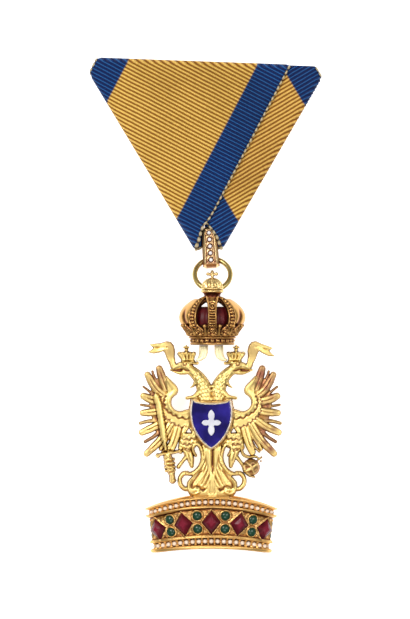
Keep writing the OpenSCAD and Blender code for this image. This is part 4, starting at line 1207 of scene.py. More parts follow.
# Rows of stones as (out, height, fall)
UPPER_ROW, UPPER_PEARLS = (0.47, -45.02, 2.7), 48
LOWER_ROW, LOWER_PEARLS = (-0.42, -54.03, 1.46), 41
STONE_ROW = (0.0, -49.65, 2.2)
GREEN_ROWS = ((0.15, -48.05, 2.35), (-0.2, -51.1, 1.9))
STONES = 10


def band_fall(w):
    return 1.2 + (w - BAND_LOW) / (BAND_TOP - BAND_LOW) * 1.65


def on_band(angle, out, w, fall=None):
    """A place on the band in metres; angle runs round from the front."""
    fall = band_fall(w) if fall is None else fall
    x, z = (BAND_WIDE + out) * np.sin(angle) + BADGE_X, MID_Z + (BAND_DEEP + out) * np.cos(angle)
    return np.stack([x, w - fall * np.sin(angle) ** 2, z], -1) * MM


def even_angles(row, count, start=0.0):
    """Angles that part a row of the band into equal lengths, and the row's whole length."""
    angle = np.linspace(0, 2 * math.pi, 1441)
    steps = np.diff(on_band(angle, *row), axis=0)
    length = np.concatenate([[0], np.cumsum(np.linalg.norm(steps, axis=1))])
    return np.interp((np.arange(count) + start) / count * length[-1], length, angle), length[-1] / MM


def build_band():
    rng = np.random.default_rng(7)
    angles, around = even_angles(STONE_ROW, detail(300, 540))
    along = np.arange(len(angles)) * around / len(angles)
    w = np.linspace(BAND_TOP, BAND_LOW, detail(60, 112))
    u_grid, w_grid = np.meshgrid(along, w, indexing="ij")
    shape_w, shape_out = np.array(BAND_SHAPE).T
    base = np.interp(-w, -shape_w, shape_out)
    relief, tint, shine = np.zeros((3, *w_grid.shape))

    def offsets(angle, row, above=0.0):
        """Distances along and across the band from a place on a row, or above it, in axes that lean with the row."""
        height, fall = row[1] + above, row[2]
        place = np.interp(angle, np.append(angles, 2 * math.pi), np.append(along, around))
        du = (u_grid - place + around / 2) % around - around / 2
        sin, cos = math.sin(angle), math.cos(angle)
        lean = math.atan(-2 * fall * sin * cos / math.hypot(BAND_WIDE * cos, BAND_DEEP * sin))
        q = (w_grid - (height - (fall - band_fall(height)) * sin ** 2)) * math.cos(lean)
        return (du + q * math.sin(lean)) / math.cos(lean), q

    for row, count in ((UPPER_ROW, UPPER_PEARLS), (LOWER_ROW, LOWER_PEARLS)):
        # Two grains between neighbouring pearls, and a ring round each pearl
        for angle in even_angles(row, count, 0.5)[0]:
            for above in (-0.52, 0.52):
                grain = 0.62 * dome(np.hypot(*offsets(angle, row, above)) / 0.3)
                relief = np.maximum(relief, grain)
                shine = np.maximum(shine, grain)
        for angle in even_angles(row, count)[0]:
            r = np.hypot(*offsets(angle, row))
            relief = relief + 0.16 * bump(r, 0.74, 0.1) * (relief < 0.1)
    # A wall round each lozenge, and a wall and a ditch round each round stone
    for angle in even_angles(STONE_ROW, STONES)[0]:
        p, q = offsets(angle, STONE_ROW)
        inside = (1 - (np.abs(p) / 2.36 + np.abs(q) / 2.98)) * 1.83
        relief = np.where(np.abs(inside) < 0.7, relief + 0.3 * bump(inside, -0.04, 0.1), relief)
        relief = np.where(inside > 0.25, -0.12, relief)
        tint = np.maximum(tint, 0.35 * bump(inside, -0.5, 0.5))
    for row in GREEN_ROWS:
        for angle in even_angles(row, STONES, 0.5)[0]:
            r = np.hypot(*offsets(angle, row))
            relief = relief + 0.2 * bump(r, 1.22, 0.09) - 0.12 * bump(r, 1.42, 0.12)
            relief = np.where(r < 1.08, -0.1, relief)
    field = smooth(-52.3, -51.9, w_grid) * (1 - smooth(-46.9, -46.6, w_grid))
    grain = blurred(rng.normal(size=relief.shape), 1)
    relief = relief + 0.035 * (grain / grain.std()) * field * (relief > -0.05)
    slow = blurred(rng.normal(size=relief.shape), 9)
    tint = np.clip(tint * 0.7 + 0.12 * field * (slow / slow.std() > 0.2), 0, 1)
    # The cavity attribute is painted shade in the band's hollows, eased in the pearl channels and lifted off the
    # grains.
    cavity = np.clip(blurred_round(base[None, :] + relief, 3) / 0.3, -1, 1)
    channel = (w_grid > -45.85) & (w_grid < -44.25) | (w_grid > -54.9) & (w_grid < -53.25)
    cavity = np.where(channel, cavity * 0.75 - 0.12, cavity) - 1.6 * shine

    verts, faces, _ = turned(on_band, angles, np.concatenate([np.stack([base, w], 1), BAND_INNER]), relief)
    inner = [(0, 0), (0, len(BAND_INNER))]
    attributes = {"cavity": np.pad(cavity, inner, constant_values=0.1).ravel(), "tint": np.pad(tint, inner).ravel()}
    piece("band_crown_cast", (verts, faces, attributes), GOLD_BAND, ["band_crown"])


build_band()


# UPPER CROWN: shells of a squashed round, pierced at the front and back, over a jewelled circlet

CROWN_X = BADGE_X + 0.22
SQUASH = 0.86
# The shells' section from the top down as (out, up), and the length down it
SHELL_LINE = curve([
    (1.8, 1.42), (2.9, 1.28), (4.2, 0.8), (5.4, 0.0), (6.3, -0.85), (6.9, -1.8), (7.15, -2.8), (6.9, -3.9),
    (6.3, -4.8), (5.5, -6.0), (5.0, -7.1)], 90)
SHELL_LENGTHS = np.append(0, np.cumsum(np.hypot(*np.diff(SHELL_LINE, axis=0).T)))
# Round the crown a relief's u is the angle times this radius
SHELL_ROUND = 7
# The side bands run between these angles from the front and back, in degrees
FRAME_IN, FRAME_OUT = 29.6, 46.8
STRIP_COLUMNS = 21


def on_crown(angle, out, up):
    """Angle round the crown from its front, distance out from its axis and height, to metres."""
    return np.stack([out * np.sin(angle) + CROWN_X, up, MID_Z + SQUASH * out * np.cos(angle)], -1) * MM


def shell_section(v):
    """How far out and how high the shells are at v down their section."""
    return [np.interp(v, SHELL_LENGTHS, row) for row in SHELL_LINE.T]


def shell_place(u, v, h):
    """Round the crown and down its section, raised by h square to the section."""
    along = np.gradient(SHELL_LINE, axis=0)
    along /= np.hypot(along[:, 0], along[:, 1])[:, None]
    out, up = shell_section(v)
    normal_out, normal_up = np.interp(v, SHELL_LENGTHS, -along[:, 1]), np.interp(v, SHELL_LENGTHS, along[:, 0])
    return on_crown(u / SHELL_ROUND, out + normal_out * h, up + normal_up * h)


def arch_half(w):
    return np.interp(w, [-5, -4.2, -3.4, -2.3, -0.6, 0.5, 1.4], [1.0, 0.98, 0.93, 0.91, 1.03, 1.2, 1.5])


def side_band_half(w):
    reach = math.radians(FRAME_OUT - FRAME_IN) / 2
    return reach * np.interp(-w, -SHELL_LINE[:, 1], SHELL_LINE[:, 0])


def side_band_height(w, share):
    """Two rails with a row of beads between them."""
    rails = 0.3 * bump(np.abs(share), 0.8, 0.15)
    row = (w + 5.0) / 0.62
    bead = np.maximum(1 - ((row - np.round(row)) / 0.42) ** 2 - (share / 0.46) ** 2, 0)
    return 0.34 + rails + 0.42 * np.sqrt(bead)


def arch_height(w, share):
    """Two rails with bars between them, a curl above the bars and a lip at the top."""
    inner = 1 - smooth(0.5, 0.66, np.abs(share))
    upper = smooth(-1.5, -1.2, w)
    bars = 0.2 * np.cos((w + 2.0) / 0.5 * 2 * math.pi) * (1 - upper)
    curl = 0.2 * np.cos(np.hypot(share * 0.75, (w + 0.5) * 0.8) / 0.4 * 2 * math.pi) * upper
    curl = curl * (1 - smooth(0.6, 0.9, w))
    return 0.4 + 0.34 * bump(np.abs(share), 0.84, 0.14) + (bars + curl) * inner + 0.22 * bump(w, 1.15, 0.14)


def shell_relief():
    """The shells with their puffed sides, opened between the arch and the side bands."""
    step = detail(0.26, 0.17)
    half_round = SHELL_ROUND * math.pi
    r = Relief((-half_round, 0), (half_round - step, SHELL_LENGTHS[-1]), step)
    angle = np.abs(np.degrees(r.U / SHELL_ROUND))
    side = np.minimum(angle, 180 - angle)
    radius, w = shell_section(r.W)
    x = radius * np.sin(np.radians(side))
    puff = 0.42 * np.sin(np.clip((side - 48) / 42, 0, 1) * math.pi / 2) ** 0.6 * smooth(-5.0, -3.8, w)
    height = 0.1 + np.where(side > FRAME_OUT, puff, 0) * smooth(1.4, 0.9, w)
    crease = bump(side, np.interp(w, [-5, -1], [57, 66]), 4.5) * smooth(-5.0, -4.2, w) * (1 - smooth(-2.6, -0.4, w))
    r.height = np.maximum(height - 0.36 * crease, 0.02)
    # The tint is painted shade behind the leaves and in the crease, and a little darker towards the top.
    r.tint = 0.85 * smooth(-4.1, -4.8, w) + 0.8 * crease + 0.22 * smooth(0.2, 1.2, w)
    corner = 0.88 - 1.1 * np.maximum((side - 24.5) / 6.5, 0) ** 2
    opening = np.minimum(x - arch_half(w) + 0.25, np.radians(FRAME_IN + 1.5 - side) * radius)
    opening = np.minimum(opening, np.minimum(corner - w, w + 4.6))
    r.edge = np.minimum(-opening, 0.9)
    return r


def strip_down(centre, half, height, top, floor):
    """A raised strip down the shells at an angle in degrees, tarnished where its relief is below floor.

    half gives its half width for a height w, and height its relief for a height and a share of the width."""
    start, end = np.interp([-top, 4.9], -SHELL_LINE[:, 1], SHELL_LENGTHS)
    v = np.linspace(start, end, detail(70, 140))[:, None]
    radius, w = shell_section(v)
    share = np.linspace(-1, 1, STRIP_COLUMNS)[None]
    h = height(w, share) * np.sqrt(np.clip((1.03 - np.abs(share)) / 0.12, 0, 1))
    angle = math.radians(centre) + np.arcsin(np.clip(share * half(w) / radius, -0.99, 0.99))
    over = shell_place(SHELL_ROUND * angle, v, h)
    under = shell_place(SHELL_ROUND * angle, v, -0.3 * np.ones(h.shape))[:, ::-1]
    grid = np.concatenate([over, under], 1)
    # The cavity attribute is painted shade in the strip's hollows.
    cavity = np.clip((blurred(h, 2) - h) / 0.1, -1, 1)
    tint = 0.85 * smooth(floor + 0.05, floor - 0.05, h)
    attributes = {"cavity": with_under(cavity, 0.4), "tint": with_under(tint, 0.5)}
    return grid.reshape(-1, 3), skin(grid.shape[:2], ends=True), attributes


def fleur_relief():
    """One leaf of the crown's rim: a lozenge with a curled eye, two side curls and a bead at its tip."""
    r = Relief((-1.4, -0.3), (1.4, 3.4), detail(0.12, 0.078))
    outline = curve([
        (-0.42, 0), (-0.75, 0.55), (-1.05, 1.15), (-0.85, 1.75), (-0.42, 2.25), (0, 2.85), (0.42, 2.25),
        (0.85, 1.75), (1.05, 1.15), (0.75, 0.55), (0.42, 0)], 50)
    r.plate(outline, 0.16, 0.1, 0.75)
    r.tube(np.vstack([outline, outline[:1]]), 0.17, 0.34, 0.16, 0.4)
    curl = (0.1, 0.85), (0.5, 1.1), (0.42, 1.62), (-0.1, 1.8), (-0.5, 1.45), (-0.32, 1.0), (0.0, 1.15), (0.12, 1.35)
    r.tube(curl, 0.14, 0.36, 0.16, 0.25)
    for side in (-1, 1):
        r.ball((side * 0.84, 0.62), 0.34, 0.34, 0.2)
        r.ball((side * 0.62, 2.0), 0.2, 0.22, 0.22)
    r.ball((0, 0.3), 0.3, 0.35, 0.35)
    r.ball((0, 2.82), 0.28, 0.35, 0.15)
    return r


def circlet_axes(angle, foot, lean):
    """A foot on the circlet at a distance from its axis, and the axes of what leans out there: across, up and out."""
    sin, cos = math.sin(angle), math.cos(angle)
    out = np.array([SQUASH * sin, 0, cos]) / math.hypot(SQUASH * sin, cos)
    across = np.array([out[2], 0, -out[0]])
    up = np.array([0, math.cos(lean), 0]) + out * math.sin(lean)
    normal = out * math.cos(lean) - np.array([0, math.sin(lean), 0])
    return np.array([foot * sin + CROWN_X, -6.8, MID_Z + SQUASH * foot * cos]), across, up, normal


def leaf_place(base, *axes):
    return lambda *offsets: (base + sum(np.multiply.outer(d, axis) for d, axis in zip(offsets, axes))) * MM


def build_shells():
    parts = [relief_shell(shell_relief(), shell_place, back=0.6, bevel=0.2, least=0.06)]
    middle = (FRAME_IN + FRAME_OUT) / 2
    for turn in (middle, -middle, 180 - middle, 180 + middle):
        parts.append(strip_down(turn, side_band_half, side_band_height, 1.3, 0.41))
    for turn in (0, 180):
        parts.append(strip_down(turn, arch_half, arch_height, 1.4, 0.22))
    piece("crown_shells", joined(parts), GOLD_CROWN, ["upper_crown"])


LEAF_LEAN, STEM_LEAN = math.radians(37), math.radians(35)
STEM = ((0.42, -0.2), (0.36, 0.2), (0.27, 1.0), (0.2, 1.75), (0.3, 1.9))
# The circlet's outer face from the top down, with two jewelled rows, and its inner face
CIRCLET_TOP = ((5.1, -6.7), (5.22, -6.85), (5.34, -7.0), (5.24, -7.2), (5.12, -7.28))
CIRCLET_LOW = (
    (5.3, -7.34), (5.46, -7.42), (5.5, -7.52), (5.44, -7.64), (5.28, -7.7), (5.0, -7.76), (4.93, -7.9),
    (4.9, -8.05), (4.88, -8.2), (4.86, -8.35), (4.86, -8.5), (4.96, -8.6), (5.1, -8.68), (5.14, -8.8),
    (5.08, -8.95), (5.1, -9.06), (4.98, -9.16))
CIRCLET_INNER = ((4.3, -9.2), (4.2, -8.0), (4.4, -6.8))
# The throat that carries the orb, painted dark as shade in the recess under it
THROAT = ((1.9, 0.9), (1.9, 1.6), (1.86, 2.1), (1.98, 2.55), (2.3, 2.88))


def build_leaves(angles):
    """Twelve leaves and twelve pearls on stems, the circlet under them and the orb's throat above them."""
    parts = []
    leaf = fleur_relief()
    pearl = [(0.42 * math.cos(t), 2.45 + 0.42 * math.sin(t)) for t in np.linspace(-1.1, 1.5, 8)]
    for k in range(12):
        place = leaf_place(*circlet_axes(math.radians(30 * k), 5.25, LEAF_LEAN))
        parts.append(relief_shell(leaf, place, back=0.25, bevel=0.16))
        base, across, up, normal = circlet_axes(math.radians(30 * k + 15), 5.5, STEM_LEAN)
        verts, faces, attributes = round_stone(base, normal, across, up, [*STEM, *pearl], 14, -0.5)
        parts.append((verts, faces, {"cavity": attributes["cavity"], "tint": np.zeros(len(verts))}))
    face = np.vstack([curve(CIRCLET_TOP, 9), CIRCLET_LOW])
    angle_grid, w_grid = np.meshgrid(angles, face[:, 1], indexing="ij")
    relief = np.zeros(angle_grid.shape)
    for number, height, wide, tall, lift in ((20, -7.02, 0.5, 0.22, 0.26), (24, -8.2, 0.44, 0.3, 0.34)):
        pitch = 2 * math.pi / number
        across = ((angle_grid + pitch / 2) % pitch - pitch / 2) * 5.0
        relief += lift * np.exp(-np.abs(across / wide) ** 5 - np.abs((w_grid - height) / tall) ** 4)
    parts.append(turned(on_crown, angles, np.vstack([face, CIRCLET_INNER]), relief, 0.25, reach=2, scale=0.2))
    verts, faces, attributes = turned(on_crown, angles[::2], curve(THROAT, 16)[::-1], tint=0.7, closed=False)
    parts.append((verts, faces, {"cavity": np.full(len(verts), 0.85), "tint": attributes["tint"]}))
    piece("crown_leaves", joined(parts), GOLD_CROWN, [])


# The orb's foot and the finial on its top as (out, up), and the orb's own size
ORB_FOOT = (
    (2.36, 3.96), (2.52, 3.9), (2.6, 3.78), (2.52, 3.62), (2.28, 3.52), (2.3, 3.44), (2.56, 3.34), (2.66, 3.18),
    (2.58, 3.0), (2.3, 2.84), (1.6, 2.8), (1.6, 4.0))
ORB_FOOT_ROWS = 9
ORB_WIDE, ORB_HIGH, ORB_LEVEL = 2.36, 2.42, 3.86
FINIAL = ((0.2, 6.85), (0.36, 6.75), (0.3, 6.65), (0.34, 6.4), (0.5, 6.25), (0.42, 6.15))


def build_orb(angles):
    """The orb on its foot, with ribs, oval panels and a cross."""
    foot_relief = np.zeros((len(angles), ORB_FOOT_ROWS))
    parts = [turned(on_crown, angles, ORB_FOOT, foot_relief, reach=1, scale=0.12)]
    heights = np.linspace(1.5, 0.02, 22)
    globe = np.stack([ORB_WIDE * np.cos(heights), ORB_LEVEL + ORB_HIGH * np.sin(heights)], 1)
    around, h = np.meshgrid(np.degrees(angles), heights, indexing="ij")
    panel = (around + 22.5) % 45 - 22.5
    ladder = np.cos(h / 0.2 * 2 * math.pi) * (np.abs(panel) < 6)
    oval = np.hypot((np.abs(panel) - 22.5) / 10, (h - 0.6) / 0.55)
    relief = 0.16 * bump(panel, 0, 6.5) + 0.07 * ladder - 0.16 * bump(oval, 1.0, 0.28) + 0.05 * (oval < 0.7)
    parts.append(turned(on_crown, angles, globe, relief * smooth(1.5, 1.1, h), closed=False, reach=2, scale=0.14))
    parts.append(turned(on_crown, full_turn(12), FINIAL, tint=0.35, closed=False))
    cross = Relief((-1.5, 6.5), (1.5, 8.0), detail(0.1, 0.06))
    cross.tube(((0, 6.6), (0, 7.15), (0, 7.6)), (0.4, 0.34, 0.4), (0.3, 0.28, 0.3), tint=0.35)
    cross.tube(((-1.05, 7.12), (0, 7.1), (1.05, 7.12)), (0.36, 0.3, 0.36), (0.28, 0.26, 0.28), tint=0.35)
    for place in ((-1.0, 7.12), (1.0, 7.12), (0, 7.5)):
        cross.ball(place, 0.4, 0.36, tint=0.2)
    for side in (-1, 1):
        cross.ball((side * 0.55, 6.86), 0.17, 0.2)
    parts.append(relief_shell(cross, lambda u, w, h: np.stack([u + CROWN_X, w, MID_Z + h], -1) * MM, bevel=0.2))
    piece("crown_orb", joined(parts), GOLD_ORB, [])


def build_cap(angles):
    """The red cap inside the shells, gathered towards its rim."""
    line = curve([
        (0.6, -0.38), (2.6, -0.4), (3.9, -0.52), (4.6, -0.8), (5.25, -1.5), (5.65, -2.6), (5.7, -3.8), (5.3, -5.2),
        (4.4, -6.8)], 34)
    gathers = 0.07 * np.cos(angles[:, None] * 26) * smooth(1.0, 4.5, line[:, 0])[None]
    relief = gathers + 0.1 * bump(line[:, 1], -0.95, 0.2)[None]
    cap = turned(on_crown, angles, line, relief, closed=False, reach=2, scale=0.1)
    piece("crown_cap_enamel", cap, CAP_RED, ["crown_cap"])


CROWN_ANGLES = full_turn(detail(96, 240))
build_shells()
build_leaves(CROWN_ANGLES)
build_orb(CROWN_ANGLES)
build_cap(CROWN_ANGLES)


# BAIL AND RING

BAIL_X, BAIL_TOP, BAIL_LOW, BAIL_Z = 1.46, 18.2, 8.5, 2.1
BAIL_OUT, BAIL_IN = 1.75, 0.85
BAIL_LEAN = math.radians(4)
BAIL_BEADS = [BAIL_TOP - 1.5 - 1.57 * k for k in range(5)]
RING_RADIUS, RING_WIRE = 4.1, 0.58
RING_PLACE = (BADGE_X + 0.3, 10.59, 2.0)
RING_TILT = math.radians(-30.4)


def on_bail(x, y, z):
    """A place on the upright bail, leant over round its top, in metres."""
    sin, cos = math.sin(BAIL_LEAN), math.cos(BAIL_LEAN)
    right, up = BAIL_X + x * cos - (y - BAIL_TOP) * sin, BAIL_TOP + x * sin + (y - BAIL_TOP) * cos
    return np.stack(np.broadcast_arrays(right, up, z), -1) * MM


def bail_ring(radius, count):
    """A long loop seen from its side, from the middle of its front over its top: heights and depths of even
    places on it, and the directions out of it."""
    straight, bend = BAIL_TOP - BAIL_LOW - 2 * BAIL_OUT, math.pi * BAIL_OUT
    s = np.arange(count) / count * 2 * (straight + bend)
    turn = (np.clip(s - straight / 2, 0, bend) + np.clip(s - straight * 1.5 - bend, 0, bend)) / BAIL_OUT
    level = (BAIL_LOW + BAIL_TOP) / 2 + np.minimum(s, straight / 2)
    level += np.maximum(s - straight * 1.5 - 2 * bend, 0) - np.clip(s - straight / 2 - bend, 0, straight)
    up, forward = np.sin(turn), np.cos(turn)
    return [part[:, None] for part in (level + radius * up, radius * forward, up, forward)]


def build_bail():
    count = detail(120, 230)
    share = np.concatenate([
        np.linspace(-1, -0.96, 3), np.linspace(-0.94, 0.94, detail(25, 47)), np.linspace(0.96, 1, 3)])[None]
    y, z, up, forward = bail_ring(BAIL_OUT, count)
    half = np.interp(y, [BAIL_LOW, BAIL_TOP - 1.2, BAIL_TOP], [1.94, 1.70, 1.35])
    x = half * share
    edge = half * (1 - np.abs(share))
    front = (forward > 0.2) & (y < BAIL_TOP - 0.75)
    lower = smooth(BAIL_LOW + 0.9, BAIL_LOW + 1.5, y)
    upper = 1 - smooth(BAIL_TOP - 1.1, BAIL_TOP - 0.7, y)
    inside = smooth(0.78, 0.86, edge)
    # A sloping edge, a sunk channel with a line round it, and a ring round each bead
    h = -0.42 * np.clip(1 - edge / 0.72, 0, 1) - 0.2 * (inside * lower * upper * front)
    h = h - 0.14 * bump(edge, 0.86, 0.08) * lower * upper * front
    for height in BAIL_BEADS:
        away = np.hypot(x, y - height)
        h = h + (0.1 * bump(away, 0.72, 0.07) - 0.22 * bump(away, 0.52, 0.1)) * front
    outer = on_bail(x, y + up * h, BAIL_Z + z + forward * h)
    inner_y, inner_z, _, _ = bail_ring(BAIL_IN, count)
    grid = np.concatenate([outer, on_bail(x[:, ::-1] * 0.995, inner_y, BAIL_Z + inner_z)], 1)
    # The cavity attribute is painted shade in the channel and round the beads; the tint is the channel's reddish
    # colour, with painted shadow added towards the bail's low end.
    cavity = np.clip((blurred(h, 3) - h) / 0.1, -1, 1)
    tint = front * inside * (0.42 + 0.3 * (1 - smooth(BAIL_LOW + 0.6, BAIL_LOW + 2.2, y)))
    attributes = {"cavity": with_under(cavity, 0.3), "tint": with_under(tint, 0.3)}
    loop = grid.reshape(-1, 3), skin(grid.shape[:2])[:, ::-1], attributes
    piece("bail_loop", loop, GOLD_BAIL, ["bail"])
    places = [on_bail(0.0, height, BAIL_Z + BAIL_OUT - 0.22) / MM for height in BAIL_BEADS]
    beads = [round_stone(place, *np.eye(3), dome_rings(0.44, 0.4, 0.1), 20) for place in places]
    piece("bail_bead_row", joined(beads), WHITE_BEAD, ["bail_beads"])


def build_ring():
    rows, sides = detail((90, 14), (180, 22))
    turn, around = np.meshgrid(full_turn(rows), full_turn(sides), indexing="ij")
    # The wire is a little uneven, and thicker at its seam
    wire = RING_WIRE * (1 + 0.012 * np.sin(3 * turn + 1) + 0.01 * np.sin(7 * turn)) + 0.035 * bump(turn, 5.1, 0.035)
    reach = RING_RADIUS + wire * np.cos(around)
    flat_y, lift = reach * np.cos(turn) - RING_RADIUS, wire * np.sin(around)
    y = flat_y * math.cos(RING_TILT) - lift * math.sin(RING_TILT)
    z = flat_y * math.sin(RING_TILT) + lift * math.cos(RING_TILT)
    verts = (np.stack([reach * np.sin(turn), y, z], -1) + RING_PLACE).reshape(-1, 3) * MM
    beside_seam = 0.5 * bump(turn, 5.02, 0.03) + 0.5 * bump(turn, 5.18, 0.03)
    # The cavity attribute darkens the lines beside the seam, and paints shade along the wire's inner and outer edges.
    cavity = beside_seam + 0.45 * np.abs(np.cos(around)) ** 5 - 0.1
    attributes = {"cavity": cavity.ravel(), "tint": (0.3 * bump(turn, 5.3, 0.3)).ravel()}
    piece("ring_wire", (verts, skin((rows, sides)), attributes), GOLD_RING, ["jump_ring"])


build_bail()
build_ring()


# SHIELDS: a gold tray with a raised rim, domed blue enamel and a white figure on the front one

# How far the trays' seat lies from the badge's mid plane
SEAT = 1.4
SHIELD_LOW, SHIELD_HIGH = (-6.2, -34.6), (6.2, -20.6)
# The white figure's middle, and its petals as (turn in degrees, length, half width)
FIGURE_MIDDLE = -27.0
PETALS = ((90, 2.75, 0.75), (-90, 2.75, 0.75), (0, 2.0, 0.65), (180, 2.0, 0.65))


def on_face(relief, face, **sizes):
    """The shell of a relief on the badge's front (1) or back (-1) face."""
    verts, faces, attributes = relief_shell(relief, on_badge(face), **sizes)
    return verts, faces[:, ::face], attributes


def build_shield(face, name):
    step = detail(0.16, 0.12)
    tray = Relief(SHIELD_LOW, SHIELD_HIGH, step)
    rim = shield_line(0.02)
    tray.plate(rim, SEAT + 1.12, 0.12)
    where = tray.room(rim, 0.2)
    inside = tray.inside(shield_line(-0.46), where)
    floor = SEAT + 0.45 + 0.62 * smooth(0.06, -0.04, inside)
    tray.height[where] = np.where(inside > -0.04, floor, tray.height[where])
    tray.height[where] += 0.08 * bump(inside, -0.22, 0.12)
    shell = on_face(tray, face, back=0.05 - SEAT, bevel=0.5, least=SEAT, soften=0)
    piece("shield_rim_" + name, shell, GOLD_RIM, ["shield_" + name])
    glass = Relief(SHIELD_LOW, SHIELD_HIGH, step)
    glass.plate(shield_line(-0.5), lambda u, w: SEAT + 0.86 + 0.1 * np.cos(u / 5 * 1.4) - 0.03 * np.sin(w * 0.8), 0.14)
    shell = on_face(glass, face, back=-SEAT - 0.46, bevel=0.5, least=SEAT + 0.5, soften=0)
    piece("shield_glass_" + name, shell, BLUE_ENAMEL, ["blue_enamel_" + name])


def build_motif():
    """A plain cross of four petals round a boss."""
    r = Relief((-2.6, -30.6), (2.6, -23.2), detail(0.12, 0.06))
    top = SEAT + 1.22
    for turn, length, half in PETALS:
        radius = (length ** 2 / 4 + half ** 2) / (2 * half)
        s = np.linspace(0, length, 24)
        wide = np.sqrt(radius ** 2 - (s - length / 2) ** 2) - radius + half
        x, y = np.concatenate([np.stack([s + 0.25, wide], 1), np.stack([s + 0.25, -wide], 1)[::-1][1:-1]]).T
        cos, sin = math.cos(math.radians(turn)), math.sin(math.radians(turn))
        r.plate(np.stack([x * cos - y * sin, x * sin + y * cos + FIGURE_MIDDLE], 1), top, 0.1)
    boss = np.stack([0.95 * np.cos(full_turn(40)), 0.95 * np.sin(full_turn(40)) + FIGURE_MIDDLE], 1)
    r.plate(boss, top + 0.06, 0.16)
    shell = on_face(r, 1, back=0.3 - top, bevel=0.5, least=top - 0.25, soften=0)
    piece("white_figure", shell, WHITE_ENAMEL, ["white_enamel_motif"])


def build_crown_ribbon(side, name):
    """A short ribbon that hangs from the upper crown."""
    r = Relief((-4.4, -13.4), (4.4, -9.0), detail(0.12, 0.065))
    outline = np.array([
        [0.75, -9.28], [2.75, -9.28], [2.8, -11.2], [3.1, -12.2], [3.75, -12.6], [3.3, -12.95], [2.4, -12.9],
        [1.2, -12.1], [0.8, -11.0]]) * [side, 1]
    middle = curve([(1.75 * side, -9.2), (1.8 * side, -11.0), (2.2 * side, -12.2), (3.4 * side, -12.8)])
    where = r.room(outline, 0.2)
    d, _, lean = r.near(middle, where)
    height = 0.2 + 0.26 * np.clip(d / 0.9, 0, 1) ** 2 + 0.1 * bump(lean, 0.1, 0.18)
    r.join(where, r.inside(outline, where), height)
    piece("crown_band_" + name, on_face(r, 1, bevel=0.12), GOLD_PALE, ["crown_ribbon_" + name])


build_shield(1, "front")
build_shield(-1, "back")
build_motif()
build_crown_ribbon(-1, "left")
build_crown_ribbon(1, "right")


# STONES: pearls, rubies and green stones on the band

LOZENGE = np.array([(1, 0), (0.52, 0.5), (0, 1), (-0.52, 0.5), (-1, 0), (-0.52, -0.5), (0, -1), (0.52, -0.5)])
RUBY_WIDE, RUBY_HIGH = 2.16, 2.74
# The ruby's rows of corners from its foot to its table: size, height and how light they are painted, as a highlight
# towards the top
RUBY_ROWS = ((0.97, -0.3, 0.0), (1.0, 0.12, 0.0), (0.6, 0.78, 0.35), (0.24, 1.12, 1.0))


def stand_on_band(angle, out, w, fall, lift=0.0):
    """The middle of a stone on the band and its three axes: across, up and out."""
    here = on_band(angle, out, w, fall) / MM
    beside = on_band(angle + 0.001, out, w, fall) / MM
    above = on_band(angle, out + 0.05, w + 1.0, fall) / MM
    across = (beside - here) / np.linalg.norm(beside - here)
    up = above - here
    up -= across * (up @ across)
    up /= np.linalg.norm(up)
    normal = np.cross(across, up)
    return here + normal * lift, across, up, normal


def ruby(centre, across, up, out):
    """A lozenge pyramid with a small table, in flat facets."""
    rows = []
    for size, height, _ in RUBY_ROWS:
        row = LOZENGE * size * [RUBY_WIDE, RUBY_HIGH]
        rows.append(centre + row[:, :1] * across + row[:, 1:] * up + height * out)
    index, beside = ring_grid(len(RUBY_ROWS), len(LOZENGE))
    first = np.stack([index[:-1], beside[:-1], beside[1:]], -1)
    second = np.stack([index[:-1], beside[1:], index[1:]], -1)
    faces = [*np.stack([first, second], 2).reshape(-1, 3), index[0, ::-1], index[-1]]
    tint = np.repeat([light for _, _, light in RUBY_ROWS], len(LOZENGE))
    return np.concatenate(rows) * MM, faces, {"cavity": np.zeros(len(tint)), "tint": tint}


def build_stones():
    for name, node, row, count, radius, out in (
            ("pearls_above", "upper_pearl_row", UPPER_ROW, UPPER_PEARLS, 0.52, -0.2),
            ("pearls_below", "lower_pearl_row", LOWER_ROW, LOWER_PEARLS, 0.55, -1.25)):
        places = [stand_on_band(angle, out, row[1], row[2], 0.12) for angle in even_angles(row, count)[0]]
        pearls = [round_stone(*place, dome_rings(radius, 0.56, 0.15), detail(12, 18)) for place in places]
        piece(name, joined(pearls), PEARL, [node])
    for k, angle in enumerate(even_angles(STONE_ROW, STONES)[0], 1):
        stone = ruby(*stand_on_band(angle, -0.15, STONE_ROW[1], STONE_ROW[2]))
        piece("ruby_cut_%d" % k, stone, RUBY, ["ruby_%d" % k], smooth_shaded=False)
    pairs = zip(*[even_angles(row, STONES, 0.5)[0] for row in GREEN_ROWS])
    number = 0
    for k, pair in enumerate(pairs):
        # The stones where the band turns away stand deeper
        sink = 0.62 if k in (2, 7) else 0.2
        for (out, w, fall), angle in zip(GREEN_ROWS, pair):
            number += 1
            stone = round_stone(*stand_on_band(angle, out - sink, w, fall), dome_rings(1.06, 0.62, 0.2, 7), 24)
            piece("green_round_%d" % number, stone, GREEN, ["green_stone_%d" % number])


build_stones()


# STAGE: a pale floor, soft boxes overhead and a camera that looks straight down

# The photograph's middle and height in pixels, and the frame's origin in them
PHOTO_X, PHOTO_Y, PHOTO_HIGH = 205, 309.5, 619
ORIGIN_X = 202.25
FLOOR_HALF, FLOOR_Z = 1.2, -0.0002


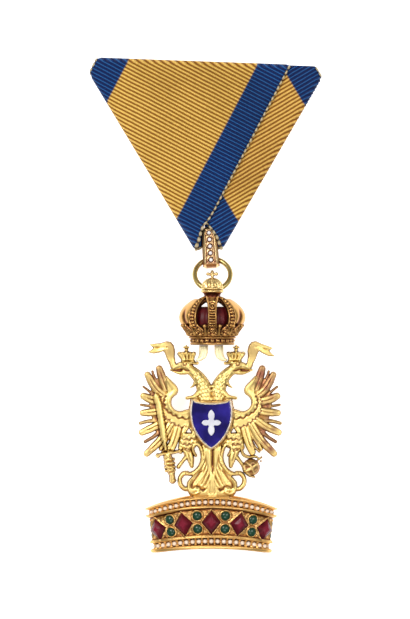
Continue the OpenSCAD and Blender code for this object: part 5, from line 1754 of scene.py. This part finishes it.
def soft_box(name, place, size, power):
    """A light that is turned to the frame's origin."""
    light = bpy.data.lights.new(name, "AREA")
    light.shape = "RECTANGLE"
    light.size, light.size_y = size
    light.energy = power
    made = bpy.data.objects.new(name, light)
    bpy.context.scene.collection.objects.link(made)
    made.location = place
    made.rotation_euler = (-Vector(place)).to_track_quat("-Z", "Y").to_euler()


def build_floor():
    paint = Paint("floor_white")
    colour = paint.ramp(paint.noise(60, 4), [(0.3, grey(0.94)), (0.7, grey(0.96))])
    paint.surface(Base_Color=colour, Roughness=0.9, Specular_IOR_Level=0.0, Emission_Color=(1, 1, 1, 1),
                  Emission_Strength=0.72)
    corners = [(x * FLOOR_HALF, y * FLOOR_HALF, FLOOR_Z) for x, y in ((-1, -1), (1, -1), (1, 1), (-1, 1))]
    data = bpy.data.meshes.new("floor")
    data.from_pydata(corners, [], [(0, 1, 2, 3)])
    data.materials.append(paint.material)
    floor = bpy.data.objects.new("floor", data)
    bpy.context.scene.collection.objects.link(floor)


def build_camera():
    """A long lens over the middle of the photograph, so far off that its height fills the picture."""
    camera = bpy.data.cameras.new("camera")
    camera.lens = 200
    camera.sensor_width = 36
    camera.clip_start, camera.clip_end = 0.05, 5
    eye = bpy.data.objects.new("camera", camera)
    bpy.context.scene.collection.objects.link(eye)
    height = PHOTO_HIGH * PIXEL * MM * camera.lens / camera.sensor_width
    eye.location = ((PHOTO_X - ORIGIN_X) * PIXEL * MM, (MIDDLE_Y - PHOTO_Y) * PIXEL * MM, MID_Z * MM + height)
    bpy.context.scene.camera = eye


bpy.context.scene.view_settings.view_transform = "Standard"
build_floor()
world = bpy.data.worlds.new("studio")
bpy.context.scene.world = world
world.use_nodes = True
background = world.node_tree.nodes["Background"]
background.inputs["Color"].default_value = (1, 1, 1, 1)
background.inputs["Strength"].default_value = 0.22
soft_box("left_window", (-0.30, 0.24, 0.66), (0.30, 0.30), 3.2)
soft_box("right_fill", (0.36, 0.10, 0.62), (0.22, 0.36), 1.5)
soft_box("foot_fill", (0.0, -0.36, 0.64), (0.40, 0.20), 1.0)
build_camera()

# The back pin stays the CAD piece, in its own steel
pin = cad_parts["back_pin"]
pin.data.materials.clear()
pin.data.materials.append(STEEL)
